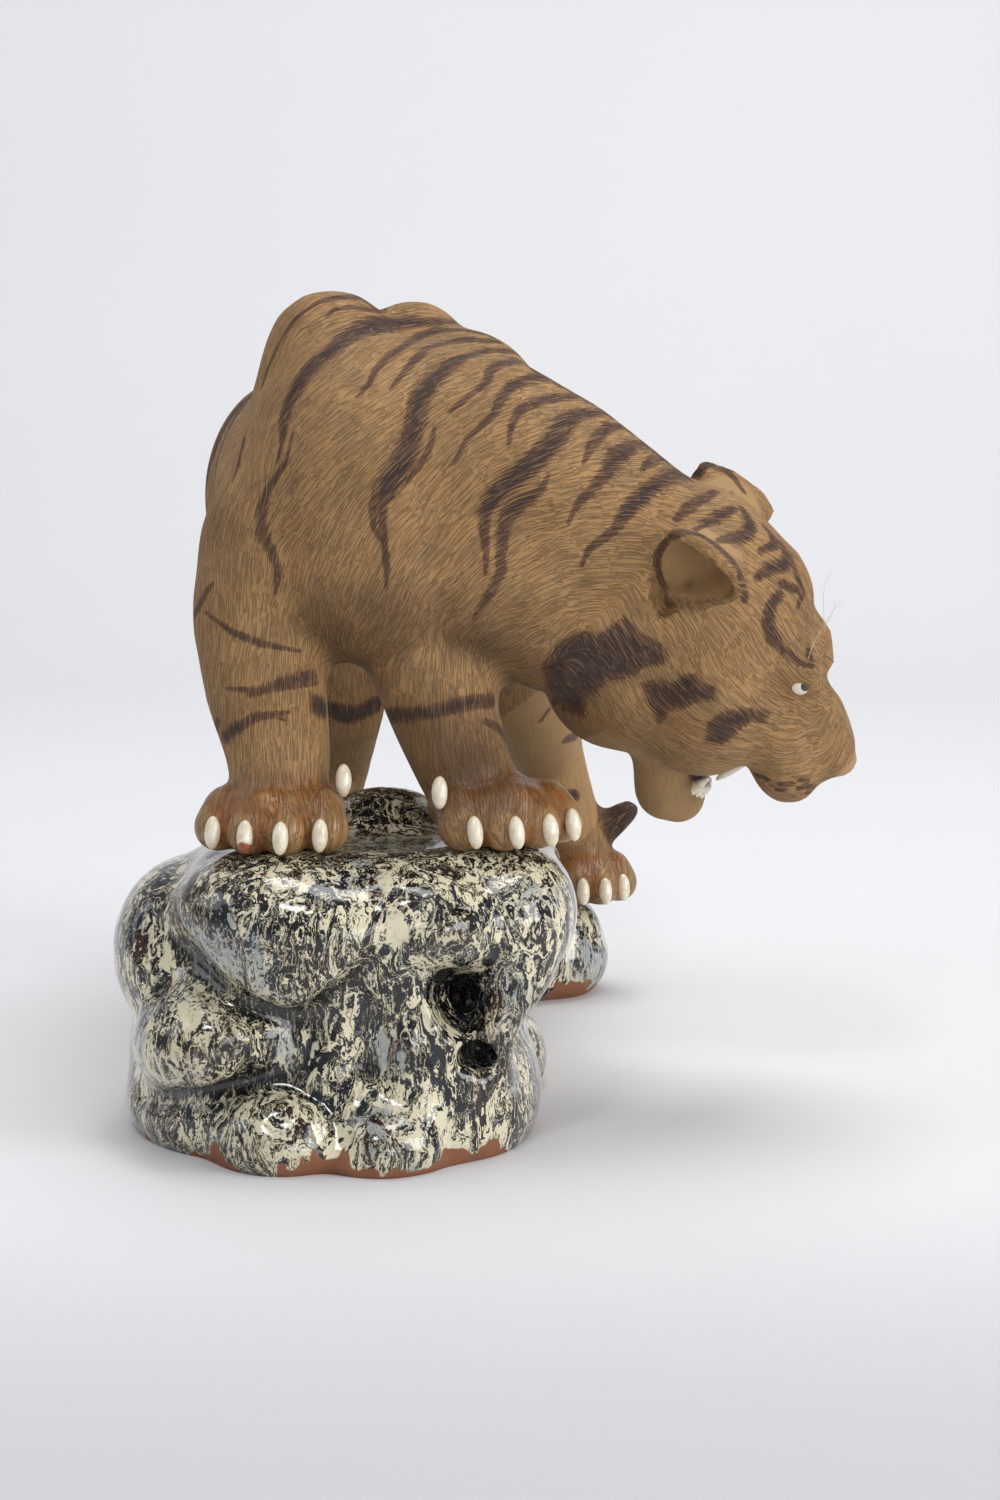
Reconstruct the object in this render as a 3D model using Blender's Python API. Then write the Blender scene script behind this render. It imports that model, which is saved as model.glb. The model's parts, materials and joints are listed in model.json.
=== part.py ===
"""Fired clay figurine of a tiger that stands with its front paws on a glazed rock.

Tiger, rock, claws and teeth are luted together as wet clay and fired as one piece. Only the
bristles over the right eye are separate: each stands in the brow, where it was stuck after firing.
Metres, +Z up. The tiger's chest faces -Y and its head is turned to +X, its own left.
"""

import math

import bmesh
import bpy
from mathutils import Euler, Matrix, Vector
from mathutils.bvhtree import BVHTree

MM = 0.001

# All sizes and places below are in millimetres
# Rock: its two ledges, how wide and deep its high front part is, and the wall round the hollow below
FRONT_LEDGE_Z = 114.0
REAR_LEDGE_Z = 44.0
ROCK_WIDTH = 126.0
ROCK_DEPTH = 118.0
ROCK_MIDDLE = Vector((-59.0, -111.0, 0.0))
ROCK_WALL = 11.0
# Tiger: how high its shoulders are, how far behind them its hips are and how far aside its head reaches
SHOULDER_HEIGHT = 246.0
BODY_LENGTH = 202.0
HEAD_REACH = 141.0
SHOULDER = Vector((-43.0, -98.0, SHOULDER_HEIGHT))
HIP = SHOULDER + Vector((-8.0, BODY_LENGTH, -6.0))
TRUNK_RADIUS = 55.0
NECK_RADIUS = 50.0
HIP_SPREAD = 36.0
# Head: where the middle of its skull is, and which way it points
HEAD = SHOULDER + Vector((HEAD_REACH, 6.0, -44.0))
HEAD_FORWARD = Vector((0.661, 0.072, -0.747))
HEAD_LEFT = Vector((0.249, 0.918, 0.309))
JAW_RADIUS = 12.0
# Ears, with the middle of the mouth of each in head coordinates, right ear first
EAR_PLACES = ((-27.0, -39.0, 6.0), (-26.5, 32.0, 0.5))
EAR_LENGTH = 37.0
EAR_HEIGHT = 41.0
EAR_DEPTH = 13.0
EAR_WALL = 3.4
EAR_RIM_RADIUS = 2.4
# Outline of an ear's mouth, in shares of half its length and half its height
EAR_OUTLINE = ((-0.89, 0.66), (-0.33, 0.87), (0.43, 0.94), (0.80, 0.85), (0.86, 0.49), (0.49, -0.32),
               (0.14, -0.78), (-0.16, -0.69), (-0.79, 0.0))
# Paws and claws
PAW_WIDTH = 55.0
PAW_HEIGHT = 24.0
HIND_PAW_WIDTH = 46.0
HIND_PAW_HEIGHT = 21.0
TOE_RADIUS = 9.4
CLAW_LENGTH = 11.5
CLAW_RADIUS = 2.9
# Where each paw stands, under the tips of its toes, and its heading in degrees; right front paw first,
# left hind paw first
FRONT_PAWS = (((-82.0, -166.0, FRONT_LEDGE_Z - 1), -6.0), ((17.0, -153.0, FRONT_LEDGE_Z - 1), 28.0))
HIND_PAWS = (((48.0, HIP.y - 12, REAR_LEDGE_Z - 1), 12.0), ((-80.0, HIP.y - 14, REAR_LEDGE_Z - 1), -8.0))
DEWCLAW_OFFSETS = (Vector((-34.5, 6.0, 25.0)), Vector((28.5, 23.0, 29.0)))
# Teeth
FANG_LENGTH = 12.0
FANG_RADIUS = 2.8
# Tail
TAIL_RADIUS = 9.5
# Bristles of the brow
BRISTLE_RADIUS = 0.25
BRISTLE_DROOP = 2.0
BRISTLE_GAP = 0.35
# Each bristle: the spot that it points back to, its lean and its length, in head coordinates
BRISTLES = (
    ((31, -16, 8), (-0.62, 0.00, 0.78), 30.0),
    ((33, -14, 8), (-0.30, 0.12, 0.95), 25.0),
    ((28, -18, 8), (-0.05, -0.25, 0.95), 14.0),
    ((30, -13, 8), (-0.45, -0.20, 0.85), 12.0))
# Grain that the clay is blended at, and how many triangles the fired piece is drawn with
BODY_GRAIN = 2.8
ROCK_GRAIN = 3.4
DETAIL_GRAIN = 1.8
FIRED_TRIANGLES = 11000

IDENTITY = Matrix.Identity(4)


def clear_scene():
    for thing in list(bpy.data.objects):
        bpy.data.objects.remove(thing, do_unlink=True)


def finish(name, colour, roughness):
    material = bpy.data.materials.new(name)
    material.use_nodes = True
    shader = material.node_tree.nodes["Principled BSDF"]
    shader.inputs["Base Color"].default_value = (*colour, 1.0)
    shader.inputs["Roughness"].default_value = roughness
    shader.inputs["Metallic"].default_value = 0.0
    return material


def sphere_ways(rings=7, spokes=14):
    """Directions spread evenly over a sphere."""
    ways = [Vector((0, 0, 1)), Vector((0, 0, -1))]
    for ring in range(1, rings):
        height = math.cos(math.pi * ring / rings)
        across = math.sin(math.pi * ring / rings)
        for spoke in range(spokes):
            angle = 2 * math.pi * (spoke + 0.5 * (ring % 2)) / spokes
            ways.append(Vector((across * math.cos(angle), across * math.sin(angle), height)))
    return ways


class Lumps:
    """Overlapping lumps of clay, in millimetres, before they are blended into one skin."""

    def __init__(self):
        self.mesh = bmesh.new()

    def ball(self, centre, radii, turn=(0, 0, 0), frame=IDENTITY):
        angles = Euler([math.radians(angle) for angle in turn])
        place = Matrix.Translation(centre) @ angles.to_matrix().to_4x4() @ Matrix.Diagonal((*radii, 1.0))
        bmesh.ops.create_icosphere(self.mesh, subdivisions=3, radius=1.0, matrix=frame @ place)

    def hull(self, spheres, frame=IDENTITY):
        made = []
        for centre, radius in spheres:
            for way in sphere_ways():
                made.append(self.mesh.verts.new(frame @ (Vector(centre) + way * radius)))
        skin = bmesh.ops.convex_hull(self.mesh, input=made)
        inside = [part for part in skin["geom_interior"] if isinstance(part, bmesh.types.BMVert)]
        bmesh.ops.delete(self.mesh, geom=inside)

    def limb(self, stations, frame=IDENTITY):
        for near, far in zip(stations, stations[1:]):
            self.hull((near, far), frame)

    def raw(self, name):
        """The lumps as they are, in metres."""
        bmesh.ops.scale(self.mesh, vec=(MM, MM, MM), verts=self.mesh.verts)
        bmesh.ops.recalc_face_normals(self.mesh, faces=self.mesh.faces)
        mesh = bpy.data.meshes.new(name)
        self.mesh.to_mesh(mesh)
        self.mesh.free()
        return mesh

    def blended(self, name, grain, passes):
        """The lumps as one closed skin, its creases softened."""
        return blended(self.raw(name), grain, passes)

    def add(self, mesh):
        self.mesh.from_mesh(mesh)
        bpy.data.meshes.remove(mesh)


def evaluated(piece):
    """The mesh of an object with its modifiers carried out; the object itself is removed."""
    bpy.context.view_layer.update()
    shape = piece.evaluated_get(bpy.context.evaluated_depsgraph_get())
    mesh = bpy.data.meshes.new_from_object(shape)
    bpy.data.objects.remove(piece)
    return mesh


def placed(name, mesh):
    piece = bpy.data.objects.new(name, mesh)
    bpy.context.collection.objects.link(piece)
    return piece


def blended(mesh, grain, passes):
    piece = placed("blend", mesh)
    skin = piece.modifiers.new("skin", "REMESH")
    skin.mode = "VOXEL"
    skin.voxel_size = grain * MM
    soften = piece.modifiers.new("soften", "SMOOTH")
    soften.factor = 0.5
    soften.iterations = passes
    return evaluated(piece)


def cut(mesh, cutter_mesh):
    piece = placed("cut", mesh)
    cutter = placed("cutter", cutter_mesh)
    cutter.hide_render = True
    cutter.display_type = "WIRE"
    opening = piece.modifiers.new("opening", "BOOLEAN")
    opening.operation = "DIFFERENCE"
    opening.solver = "EXACT"
    opening.object = cutter
    mesh = evaluated(piece)
    bpy.data.objects.remove(cutter)
    return mesh


def thinned(mesh, triangles):
    piece = placed("thin", mesh)
    mesh.calc_loop_triangles()
    fewer = piece.modifiers.new("fewer", "DECIMATE")
    fewer.ratio = triangles / len(mesh.loop_triangles)
    fewer.use_collapse_triangulate = True
    return evaluated(piece)


def head_frame():
    """Head coordinates: X to the nose, Y to the tiger's left ear, Z to the top of its skull."""
    forward = HEAD_FORWARD.normalized()
    left = (HEAD_LEFT - forward * forward.dot(HEAD_LEFT)).normalized()
    turn = Matrix((forward, left, forward.cross(left))).transposed()
    return Matrix.Translation(HEAD) @ turn.to_4x4()


def paw_frame(toes, heading):
    """Paw coordinates: X across, -Y to the toes and Z up, with the origin under the toe tips."""
    return Matrix.Translation(toes) @ Matrix.Rotation(math.radians(heading), 4, "Z")


def bent_limb(clay, top, top_radius, end, end_radius, bends):
    """A limb from top to end. Each bend has a share of the way, an offset from the line and a radius."""
    stations = [(top, top_radius)]
    for share, sideways, backward, upward, radius in bends:
        stations.append((top.lerp(end, share) + Vector((sideways, backward, upward)), radius))
    stations.append((end, end_radius))
    clay.limb(stations)


def trunk(clay):
    middle = SHOULDER.lerp(HIP, 0.45)
    clay.limb(((SHOULDER, TRUNK_RADIUS), (middle, TRUNK_RADIUS), (HIP, TRUNK_RADIUS - 1)))
    clay.ball(middle + Vector((0, -30, -3)), (TRUNK_RADIUS + 9, 86, TRUNK_RADIUS + 7), (-4, 0, 0))
    clay.ball(SHOULDER + Vector((2, -6, -26)), (46, 44, 42))
    # Shoulder blades stand up on each side of the spine, the right one higher
    blade = Vector((-17, 16, 49))
    clay.limb(((SHOULDER + blade, 27), (SHOULDER + Vector((-24, 4, 20)), 27), (SHOULDER + Vector((-33, -10, -12)), 29)))
    blade = Vector((14, 34, 49))
    clay.limb(((SHOULDER + blade, 23), (SHOULDER + Vector((19, 14, 16)), 27), (SHOULDER + Vector((29, -2, -10)), 28)))
    clay.ball(SHOULDER + Vector((-19, 30, 26)), (27, 30, 27))
    clay.ball(SHOULDER + Vector((-14, -6, 34)), (24, 26, 22))
    # Spine, rump and the loins in front of the thighs
    clay.limb(((SHOULDER + Vector((-4, 40, 44)), 24), (middle + Vector((0, 20, 36)), 26),
               (HIP + Vector((0, 4, 34)), 28), (HIP + Vector((0, 40, 16)), 26)))
    clay.ball(HIP + Vector((0, -44, -8)), (56, 60, 46), (8, 0, 0))
    for side in (-1, 1):
        clay.ball(HIP + Vector((25 * side, -42, 2)), (36, 56, 46), (10, 0, 0))


def neck(clay):
    clay.ball(SHOULDER + Vector((31, 22, 26)), (35, 36, 35))
    bends = ((0.277, 0, 0, 10, NECK_RADIUS), (0.5, 0, 0, 6, NECK_RADIUS - 1), (0.716, 0, 0, -0.5, NECK_RADIUS - 5))
    bent_limb(clay, SHOULDER + Vector((-2, 2, 8)), NECK_RADIUS + 2, HEAD + Vector((-6, 2, -4)), 28, bends)
    bends = ((0.3, 0, -6, -12, 44), (0.56, 0, -6, -19, 38))
    bent_limb(clay, SHOULDER, 44, HEAD, 30, bends)


def forelegs(clay):
    right_paw, left_paw = (Vector(place) for place, heading in FRONT_PAWS)
    ankle = Vector((4, 32, 19))
    bends = ((0.3, -7, 11, 0, 27.5), (0.58, -5.5, 8, 0, 24), (0.83, -0.5, 4, 0, 20.5))
    bent_limb(clay, SHOULDER + Vector((-37, -12, -20)), 30, right_paw + ankle, 19, bends)
    ankle = Vector((-21, 28, 19))
    bends = ((0.3, -12, 4, 0, 27), (0.49, -14, 5, 0, 25), (0.745, -9, 3, 0, 21), (0.888, -5, 1, 0, 19))
    bent_limb(clay, SHOULDER + Vector((31, 0, -16)), 29, left_paw + ankle, 18, bends)


def hind_legs(clay):
    left_paw, right_paw = (Vector(place) for place, heading in HIND_PAWS)
    for side in (-1, 1):
        hip = HIP + Vector((HIP_SPREAD * side, 0, 0))
        clay.hull((
            (hip + Vector((-3 * side, 26, 14)), 30),
            (hip + Vector((-4 * side, -34, 8)), 34),
            (hip + Vector((5 * side, -40, -42)), 32),
            (hip + Vector((3 * side, -2, -52)), 25),
            (hip + Vector((2 * side, 28, -18)), 25)))
        clay.ball(hip + Vector((2 * side, -6, -10)), (39, 54, 54), (14, 0, 0))
    bends = ((0.29, 5, -36, 0, 33), (0.53, 3, -17, 0, 21.5), (0.72, 1, 15, 0, 16.5), (0.89, 0, 7, 0, 14.5))
    bent_limb(clay, HIP + Vector((HIP_SPREAD, -10, -14)), 40, left_paw + Vector((-4, 22, 17)), 13.5, bends)
    bends = ((0.29, 5, -34, 0, 33), (0.53, 15, -15, 0, 21.5), (0.72, 10, 15, 0, 16.5), (0.89, 3, 7, 0, 14.5))
    bent_limb(clay, HIP + Vector((-HIP_SPREAD, -10, -14)), 40, right_paw + Vector((1, 22, 17)), 13.5, bends)


def tail(clay):
    """The tail hangs close behind the legs, and its tip curls up beside the left hind paw."""
    route = ((0, 44, 26, 7), (1, 64, 6, 4), (5, 72, -34, 2), (14, 70, -76, 1), (32, 64, -112, 0.5), (56, 52, -140, 0),
             (78, 38, -160, -0.5), (96, 26, -168, -1), (107, 18, -164, -1.5), (116, 14, -156, -3.5))
    clay.limb([(HIP + Vector((x, y, z)), TAIL_RADIUS + more) for x, y, z, more in route])


def skull(clay, frame):
    clay.ball((-10, 0, -8), (50, 40, 35.5), frame=frame)
    clay.ball((-34, 0, -26), (34, 43, 45), frame=frame)
    for side in (-1, 1):
        # Cheeks, the ruff behind them, the ridge over each eye and the upper lip
        clay.ball((14, 24 * side, -28), (36, 20, 29), (0, 35, 0), frame)
        clay.ball((-6, 23 * side, -46), (30, 22, 35), (0, 20, 0), frame)
        clay.ball((30.5, 12 * side, 4.5), (16, 11.5, 11.5), (0, 15, 0), frame)
        clay.ball((9, 21 * side, -52), (19, 16, 17), frame=frame)
        clay.ball((44, 18 * side, -18), (20, 14, 15), frame=frame)
        clay.ball((58, 12 * side, -24), (21, 15, 15), (0, 28, 0), frame)
    # Bridge of the nose
    for side in (-1, 1):
        clay.limb((((30, 7 * side, -12), 14), ((57, 5.5 * side, -10), 12.5), ((70, 4.5 * side, -13), 10.5)), frame)


def lower_jaw(clay, frame):
    for side in (-1, 1):
        clay.limb((
            ((4, 19 * side, -50), JAW_RADIUS + 4),
            ((26, 13.5 * side, -61.5), JAW_RADIUS),
            ((42.5, 8 * side, -75.5), JAW_RADIUS + 0.5)), frame)
    clay.hull((((27, 9, -65), JAW_RADIUS - 2), ((27, -9, -65), JAW_RADIUS - 2),
               ((44, 5, -77), JAW_RADIUS), ((44, -5, -77), JAW_RADIUS),
               ((51, 4, -75), JAW_RADIUS - 2), ((51, -4, -75), JAW_RADIUS - 2)), frame)


def face(clay, frame):
    """The fine forms of the head, added after its masses are blended."""
    for side in (-1, 1):
        clay.ball((61, 10.5 * side, -25), (17, 12.5, 13), (0, 28, 0), frame)
        # Eye, between the ridge that hangs over it and its lower lid
        clay.ball((35.5, 15.5 * side, 2), (6.5, 6, 6), frame=frame)
        clay.limb((((24, 21.5 * side, 4), 4), ((34.5, 18 * side, 9.5), 4), ((43, 11 * side, 6), 3.4)), frame)
        clay.limb((((29, 22 * side, -4.5), 3), ((39, 17.5 * side, -2.6), 2.6), ((46, 11.5 * side, -1), 2.6)), frame)
        ear(clay, side)
        fang(clay, frame, Vector((54, 12.5 * side, -41)), Vector((-0.35, 0, -0.93)))
        fang(clay, frame, Vector((47.5, 8.5 * side, -70)), Vector((0.05, 0.1 * side, 1)))
        clay.limb((((36, 11 * side, -65), 3), ((24, 14 * side, -57), 3)), frame)
    # Nose leather, tongue and front teeth
    clay.ball((76, 0, -13), (5.5, 9.5, 7), (0, 30, 0), frame)
    clay.limb((((16, 0, -55), 9), ((28, 0, -61), 8), ((38, 0, -66), 6)), frame)
    clay.limb((((51, -6, -65), 2.8), ((54, 0, -65), 2.8), ((51, 6, -65), 2.8)), frame)
    clay.limb((((67, -7, -38), 2.6), ((67, 7, -38), 2.6)), frame)


def ear_frame(side):
    """Ear coordinates: X along the head, Y to its top and Z out of the ear, from the middle of its mouth."""
    outward = Vector((0.0, 0.93 * side, -0.37)).normalized()
    along = Vector((1, 0, 0.12))
    along = (along - outward * outward.dot(along)).normalized()
    up = outward.cross(along) * -side
    turn = Matrix((along, up, outward)).transposed().to_4x4()
    return head_frame() @ Matrix.Translation(EAR_PLACES[side > 0]) @ turn


def ear_ring(inset, height):
    """Points round the mouth of an ear, moved in from its outline, at a height above it."""
    for share_x, share_y in EAR_OUTLINE:
        across = share_x * EAR_LENGTH / 2
        up = share_y * EAR_HEIGHT / 2
        inward = 1 - inset / math.hypot(across, up)
        yield across * inward, up * inward, height


def ear(clay, side):
    """A cup of clay that stands off the side of the skull, with its lower end in the cheek."""
    rim = [(spot, EAR_RIM_RADIUS) for spot in ear_ring(0, 0)]
    back = [((-3, 5, -EAR_DEPTH), 8), ((6, 7, -EAR_DEPTH), 8), ((2, 2, -EAR_DEPTH - 8), 9), ((3, -12, -EAR_DEPTH), 6)]
    clay.hull(rim + back, ear_frame(side))


def ear_hollows():
    space = Lumps()
    for side in (-1, 1):
        mouth = [(spot, EAR_WALL / 2) for spot in ear_ring(EAR_WALL, 0)]
        above = [(spot, EAR_WALL / 2) for spot in ear_ring(EAR_WALL - 1, 9)]
        bottom = [((-4, 7, EAR_WALL - EAR_DEPTH), 3), ((5, 8, EAR_WALL - EAR_DEPTH), 3), ((2, -5, -5), 2)]
        space.hull(mouth + above + bottom, ear_frame(side))
    return space.raw("ear_hollows")


def fang(clay, frame, root, way):
    tip = root + way.normalized() * FANG_LENGTH
    clay.limb(((root, FANG_RADIUS), (root.lerp(tip, 0.55), FANG_RADIUS * 0.75), (tip, FANG_RADIUS * 0.3)), frame)


def paw_mass(clay, frame, width, height):
    clay.hull((
        ((-width * 0.24, 20, height * 0.48), height * 0.46),
        ((width * 0.24, 20, height * 0.48), height * 0.46),
        ((0, 34, height * 0.72), height * 0.55),
        ((0, 14, height * 0.62), height * 0.42)), frame)


def toes(clay, frame, width, height):
    """Four toes side by side, the outer two set back, each with a claw."""
    pitch = (width - 2 * TOE_RADIUS) / 3
    for number, back in enumerate((9.0, 1.5, 0.0, 7.0)):
        across = (number - 1.5) * pitch
        fan = across * 0.12
        clay.limb((
            ((across * 0.92, back + 26, height * 0.62), TOE_RADIUS * 0.95),
            ((across, back + 15, height * 0.62), TOE_RADIUS),
            ((across + fan, back + 8.5, height * 0.40), TOE_RADIUS)), frame)
        claw(clay, frame, Vector((across + fan, back - 1.4, height * 0.48)))


def claw(clay, frame, root):
    clay.ball(root + Vector((0, -0.5, -2.4)), (CLAW_RADIUS, CLAW_RADIUS, CLAW_LENGTH / 2), (-14, 0, 0), frame)


def rock_sides():
    """Right and left of the high front part of the rock, along X, and its front and back, along Y."""
    half = Vector((ROCK_WIDTH / 2, ROCK_DEPTH / 2, 0))
    low, high = ROCK_MIDDLE - half, ROCK_MIDDLE + half
    return low.x, high.x, low.y, high.y


def front_bed(clay):
    """The high front part of the rock: a ledge on overhanging bulges, with folds below them."""
    right, left, front, back = rock_sides()
    middle = ROCK_MIDDLE.x
    top = FRONT_LEDGE_Z
    ledge = top - 16
    clay.hull((
        ((right + 24, front + 32, ledge), 16), ((right + 40, front + 12, ledge), 16),
        ((left - 24, front + 18, ledge), 16), ((left + 10, front + 34, ledge), 16),
        ((left + 10, back - 40, ledge), 16), ((right + 24, back - 40, ledge), 16)))
    clay.ball((middle - 3, front + 20, top - 26), (56, 42, 27), (0, 8, 0))
    clay.ball((middle - 10, front + 18, top - 40), (36, 38, 24))
    clay.ball((left + 3, front + 40, top - 27), (28, 42, 29))
    clay.ball((left - 26, front + 18, top - 22), (32, 38, 20), (0, 20, 0))
    clay.ball((right + 11, front + 58, top - 46), (34, 46, 38), (0, -10, 0))
    clay.ball((right + 20, front + 28, 46), (34, 45, 24), (0, -20, 0))
    clay.ball((left - 44, back - 38, top - 15), (34, 28, 30))
    clay.hull((((right + 32, front + 50, 40), 36), ((left - 16, front + 50, 40), 28),
               ((left - 16, back - 18, 40), 30), ((right + 32, back - 14, 40), 36)))
    clay.ball((left - 28, front + 44, top - 48), (30, 22, 26))
    clay.ball((middle - 5, back - 32, top - 32), (42, 28, 28))
    # Buttress beside the pits, and the foot of the rock
    clay.limb((((left - 38, front + 12, top - 32), 16), ((left - 30, front + 6, 50), 17), ((left - 24, front + 12, 12), 22)))
    clay.limb((((middle + 3, front + 10, 46), 16), ((middle - 11, front + 6, 28), 14),
               ((middle + 11, front + 4, 22), 14), ((left - 30, front + 6, 6), 18)))
    clay.limb((((left + 10, front + 20, top - 44), 13), ((left - 1, front + 10, 50), 9), ((left - 10, front + 12, 30), 16)))
    for centre, radii, turn in (
            ((right + 14, front + 44, 12), (30, 48, 24), 24),
            ((right + 44, front + 26, 10), (34, 50, 25), 6),
            ((left - 40, front + 24, 8), (34, 50, 22), -8),
            ((left - 10, front + 38, 16), (26, 46, 32), -14),
            ((right + 10, back - 40, 24), (30, 52, 40), 0),
            ((right + 2, back - 10, 30), (22, 40, 34), -14)):
        clay.ball(centre, radii, (0, 0, turn))


def rear_bed(clay):
    """The low part of the rock, which carries the hind paws."""
    ledge = REAR_LEDGE_Z - 15
    rear = HIP.y
    clay.ball((8, -52, 11), (17, 26, 19))
    clay.hull((((-74, -60, 40), 36), ((-30, -50, 32), 32), ((-66, rear - 84, 22), 32), ((-28, rear - 84, 18), 26)))
    clay.ball((-84, -14, 20), (34, 46, 36), (0, 0, 16))
    clay.ball((-22, rear - 90, 12), (32, 44, 28), (0, 0, -10))
    clay.ball((-76, rear - 52, 14), (36, 46, 32), (0, 0, -12))
    clay.ball((-40, rear - 38, 6), (44, 42, 24))
    clay.hull((((-84, rear - 6, ledge), 15), ((-84, rear + 30, ledge), 15), ((-20, rear + 46, ledge), 15),
               ((36, rear + 24, ledge), 15), ((38, rear + 2, ledge), 15), ((-10, rear - 30, ledge), 15)))
    clay.ball((-84, rear + 14, 18), (34, 40, 27), (0, 0, 10))
    clay.ball((-30, rear + 34, 16), (48, 36, 27), (0, 0, 8))
    clay.ball((22, rear + 12, 16), (34, 36, 25), (0, 0, 30))
    clay.ball((-8, rear - 20, 14), (36, 30, 27), (0, 0, 34))
    clay.ball((-30, rear + 4, 12), (48, 40, 22))


# Folds in the front of the rock, as seen from the front: across from its middle, up, and the fold's radius
FOLDS = (
    ((-66, 86, 5), (-53, 75, 6), (-35, 63, 7.5), (-17, 56, 8), (-8, 55, 8), (4, 64, 7.5), (20, 79, 6.5), (33, 93, 5),
     (52, 101, 4)),
    ((-76, 16, 4), (-52, 25, 5.5), (-32, 30, 6), (-10, 38, 6.5), (-3, 53, 5)),
    ((-19, 33, 5), (0, 26, 5), (9, 11, 5), (14, 4, 4)),
    ((-42, 10, 3), (-16, 20, 4), (0, 11, 3)),
    ((15, 64, 4), (22, 52, 4.5), (25, 41, 4), (25, 20, 3)),
    ((29, 60, 4), (37, 49, 4.5), (42, 36, 4.5), (44, 19, 4), (45, 3, 4)),
    ((59, 42, 3.5), (62, 33, 4), (64, 19, 4), (63, 5, 3.5)),
    ((-68, 92, 4), (-71, 81, 4.5), (-61, 65, 5), (-75, 49, 4)))


def folds(bed):
    """Grooves along the folds, each point on the rock's face straight behind where the front view shows it."""
    surface = BVHTree.FromPolygons([vert.co for vert in bed.vertices], [face.vertices for face in bed.polygons])
    dark = Lumps()
    for fold in FOLDS:
        stations = []
        for across, up, radius in fold:
            spot = Vector((ROCK_MIDDLE.x + across, ROCK_MIDDLE.y - 2 * ROCK_DEPTH, up))
            hit = surface.ray_cast(spot * MM, Vector((0, 1, 0)))[0]
            if hit:
                stations.append((hit / MM, radius))
        dark.limb(stations)
    return dark.blended("folds", BODY_GRAIN, 2)


def pits():
    """Deep holes between the folds of the rock's front."""
    right, left, front, back = rock_sides()
    dark = Lumps()
    dark.ball((left - 14, front - 14, FRONT_LEDGE_Z - 54), (10.5, 31, 17), (0, -28, 0))
    dark.ball((left - 7, front - 12, 40), (9, 28, 6.5), (0, 20, 0))
    return dark.raw("pits")


def build_rock():
    clay = Lumps()
    front_bed(clay)
    rear_bed(clay)
    bed = clay.blended("rock", ROCK_GRAIN, 5)
    bed = cut(bed, folds(bed))
    bed = blended(bed, BODY_GRAIN, 4)
    return cut(bed, pits())


def build_tiger():
    clay = Lumps()
    trunk(clay)
    neck(clay)
    frame = head_frame()
    skull(clay, frame)
    lower_jaw(clay, frame)
    forelegs(clay)
    hind_legs(clay)
    tail(clay)
    return clay.blended("tiger", BODY_GRAIN, 12)


def build_figurine():
    clay = Lumps()
    clay.add(scaled_up(build_tiger()))
    clay.add(scaled_up(build_rock()))
    face(clay, head_frame())
    for paws, width, height in ((FRONT_PAWS, PAW_WIDTH, PAW_HEIGHT), (HIND_PAWS, HIND_PAW_WIDTH, HIND_PAW_HEIGHT)):
        for place, heading in paws:
            frame = paw_frame(place, heading)
            paw_mass(clay, frame, width, height)
            toes(clay, frame, width, height)
    for place, heading in FRONT_PAWS:
        claw(clay, IDENTITY, Vector(place) + DEWCLAW_OFFSETS[heading < 0])
    mesh = cut(clay.blended("figurine", DETAIL_GRAIN, 2), ear_hollows())
    mesh = thinned(mesh, FIRED_TRIANGLES)
    return cut(cut(mesh, table()), hollow())


def table():
    """What is trimmed off below the rock, so that it stands flat."""
    block = Lumps()
    size = 3 * BODY_LENGTH
    bmesh.ops.create_cube(block.mesh, size=size, matrix=Matrix.Translation((0, 0, -size / 2)))
    return block.raw("table")


def hollow():
    """The space under the rock, open below, that leaves a wall of clay round it."""
    space = Lumps()
    top = FRONT_LEDGE_Z - ROCK_WALL - 20
    right, left, front, back = rock_sides()
    right, left, front, back = right + ROCK_WALL, left - ROCK_WALL, front + ROCK_WALL, back - ROCK_WALL
    low, high = 16, 12
    space.hull((
        ((right + low, front + low, -10), low), ((left - low, front + low, -10), low),
        ((left - low, back - low, -10), low), ((right + low, back - low, -10), low),
        ((right + 16, front + 46, top), high), ((left - 40, front + 46, top), high),
        ((left - 40, back - 38, top), high), ((right + 16, back - 38, top), high)))
    return space.raw("hollow")


def scaled_up(mesh):
    mesh.transform(Matrix.Diagonal((1 / MM, 1 / MM, 1 / MM, 1.0)))
    return mesh


def bristle(name, surface, aim, lean, length, coating):
    """A fine bristle over the eye, from just off the brow's skin along its own lean."""
    frame = head_frame()
    way = (frame.to_3x3() @ Vector(lean)).normalized()
    start = frame @ Vector(aim)
    seat, skin_way = surface.ray_cast((start + way * length) * MM, -way)[:2]
    foot = seat / MM + skin_way * (BRISTLE_GAP + BRISTLE_RADIUS)
    curve = bpy.data.curves.new(name, "CURVE")
    curve.dimensions = "3D"
    curve.bevel_depth = BRISTLE_RADIUS * MM
    curve.bevel_resolution = 1
    curve.use_fill_caps = True
    line = curve.splines.new("POLY")
    steps = 6
    line.points.add(steps)
    for step, point in enumerate(line.points):
        share = step / steps
        droop = Vector((0, 0, -BRISTLE_DROOP * share * share))
        point.co = (*((foot + way * length * share + droop) * MM), 1.0)
    piece = bpy.data.objects.new(name, curve)
    bpy.context.collection.objects.link(piece)
    curve.materials.append(coating)


def stand_on_origin(figurine):
    """Moves every piece so that the origin is under the middle of the figurine's outline."""
    corners = [Vector(corner) for corner in figurine.bound_box]
    middle = sum(corners, Vector()) / len(corners)
    for piece in bpy.data.objects:
        piece.location.x -= middle.x
        piece.location.y -= middle.y


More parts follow.
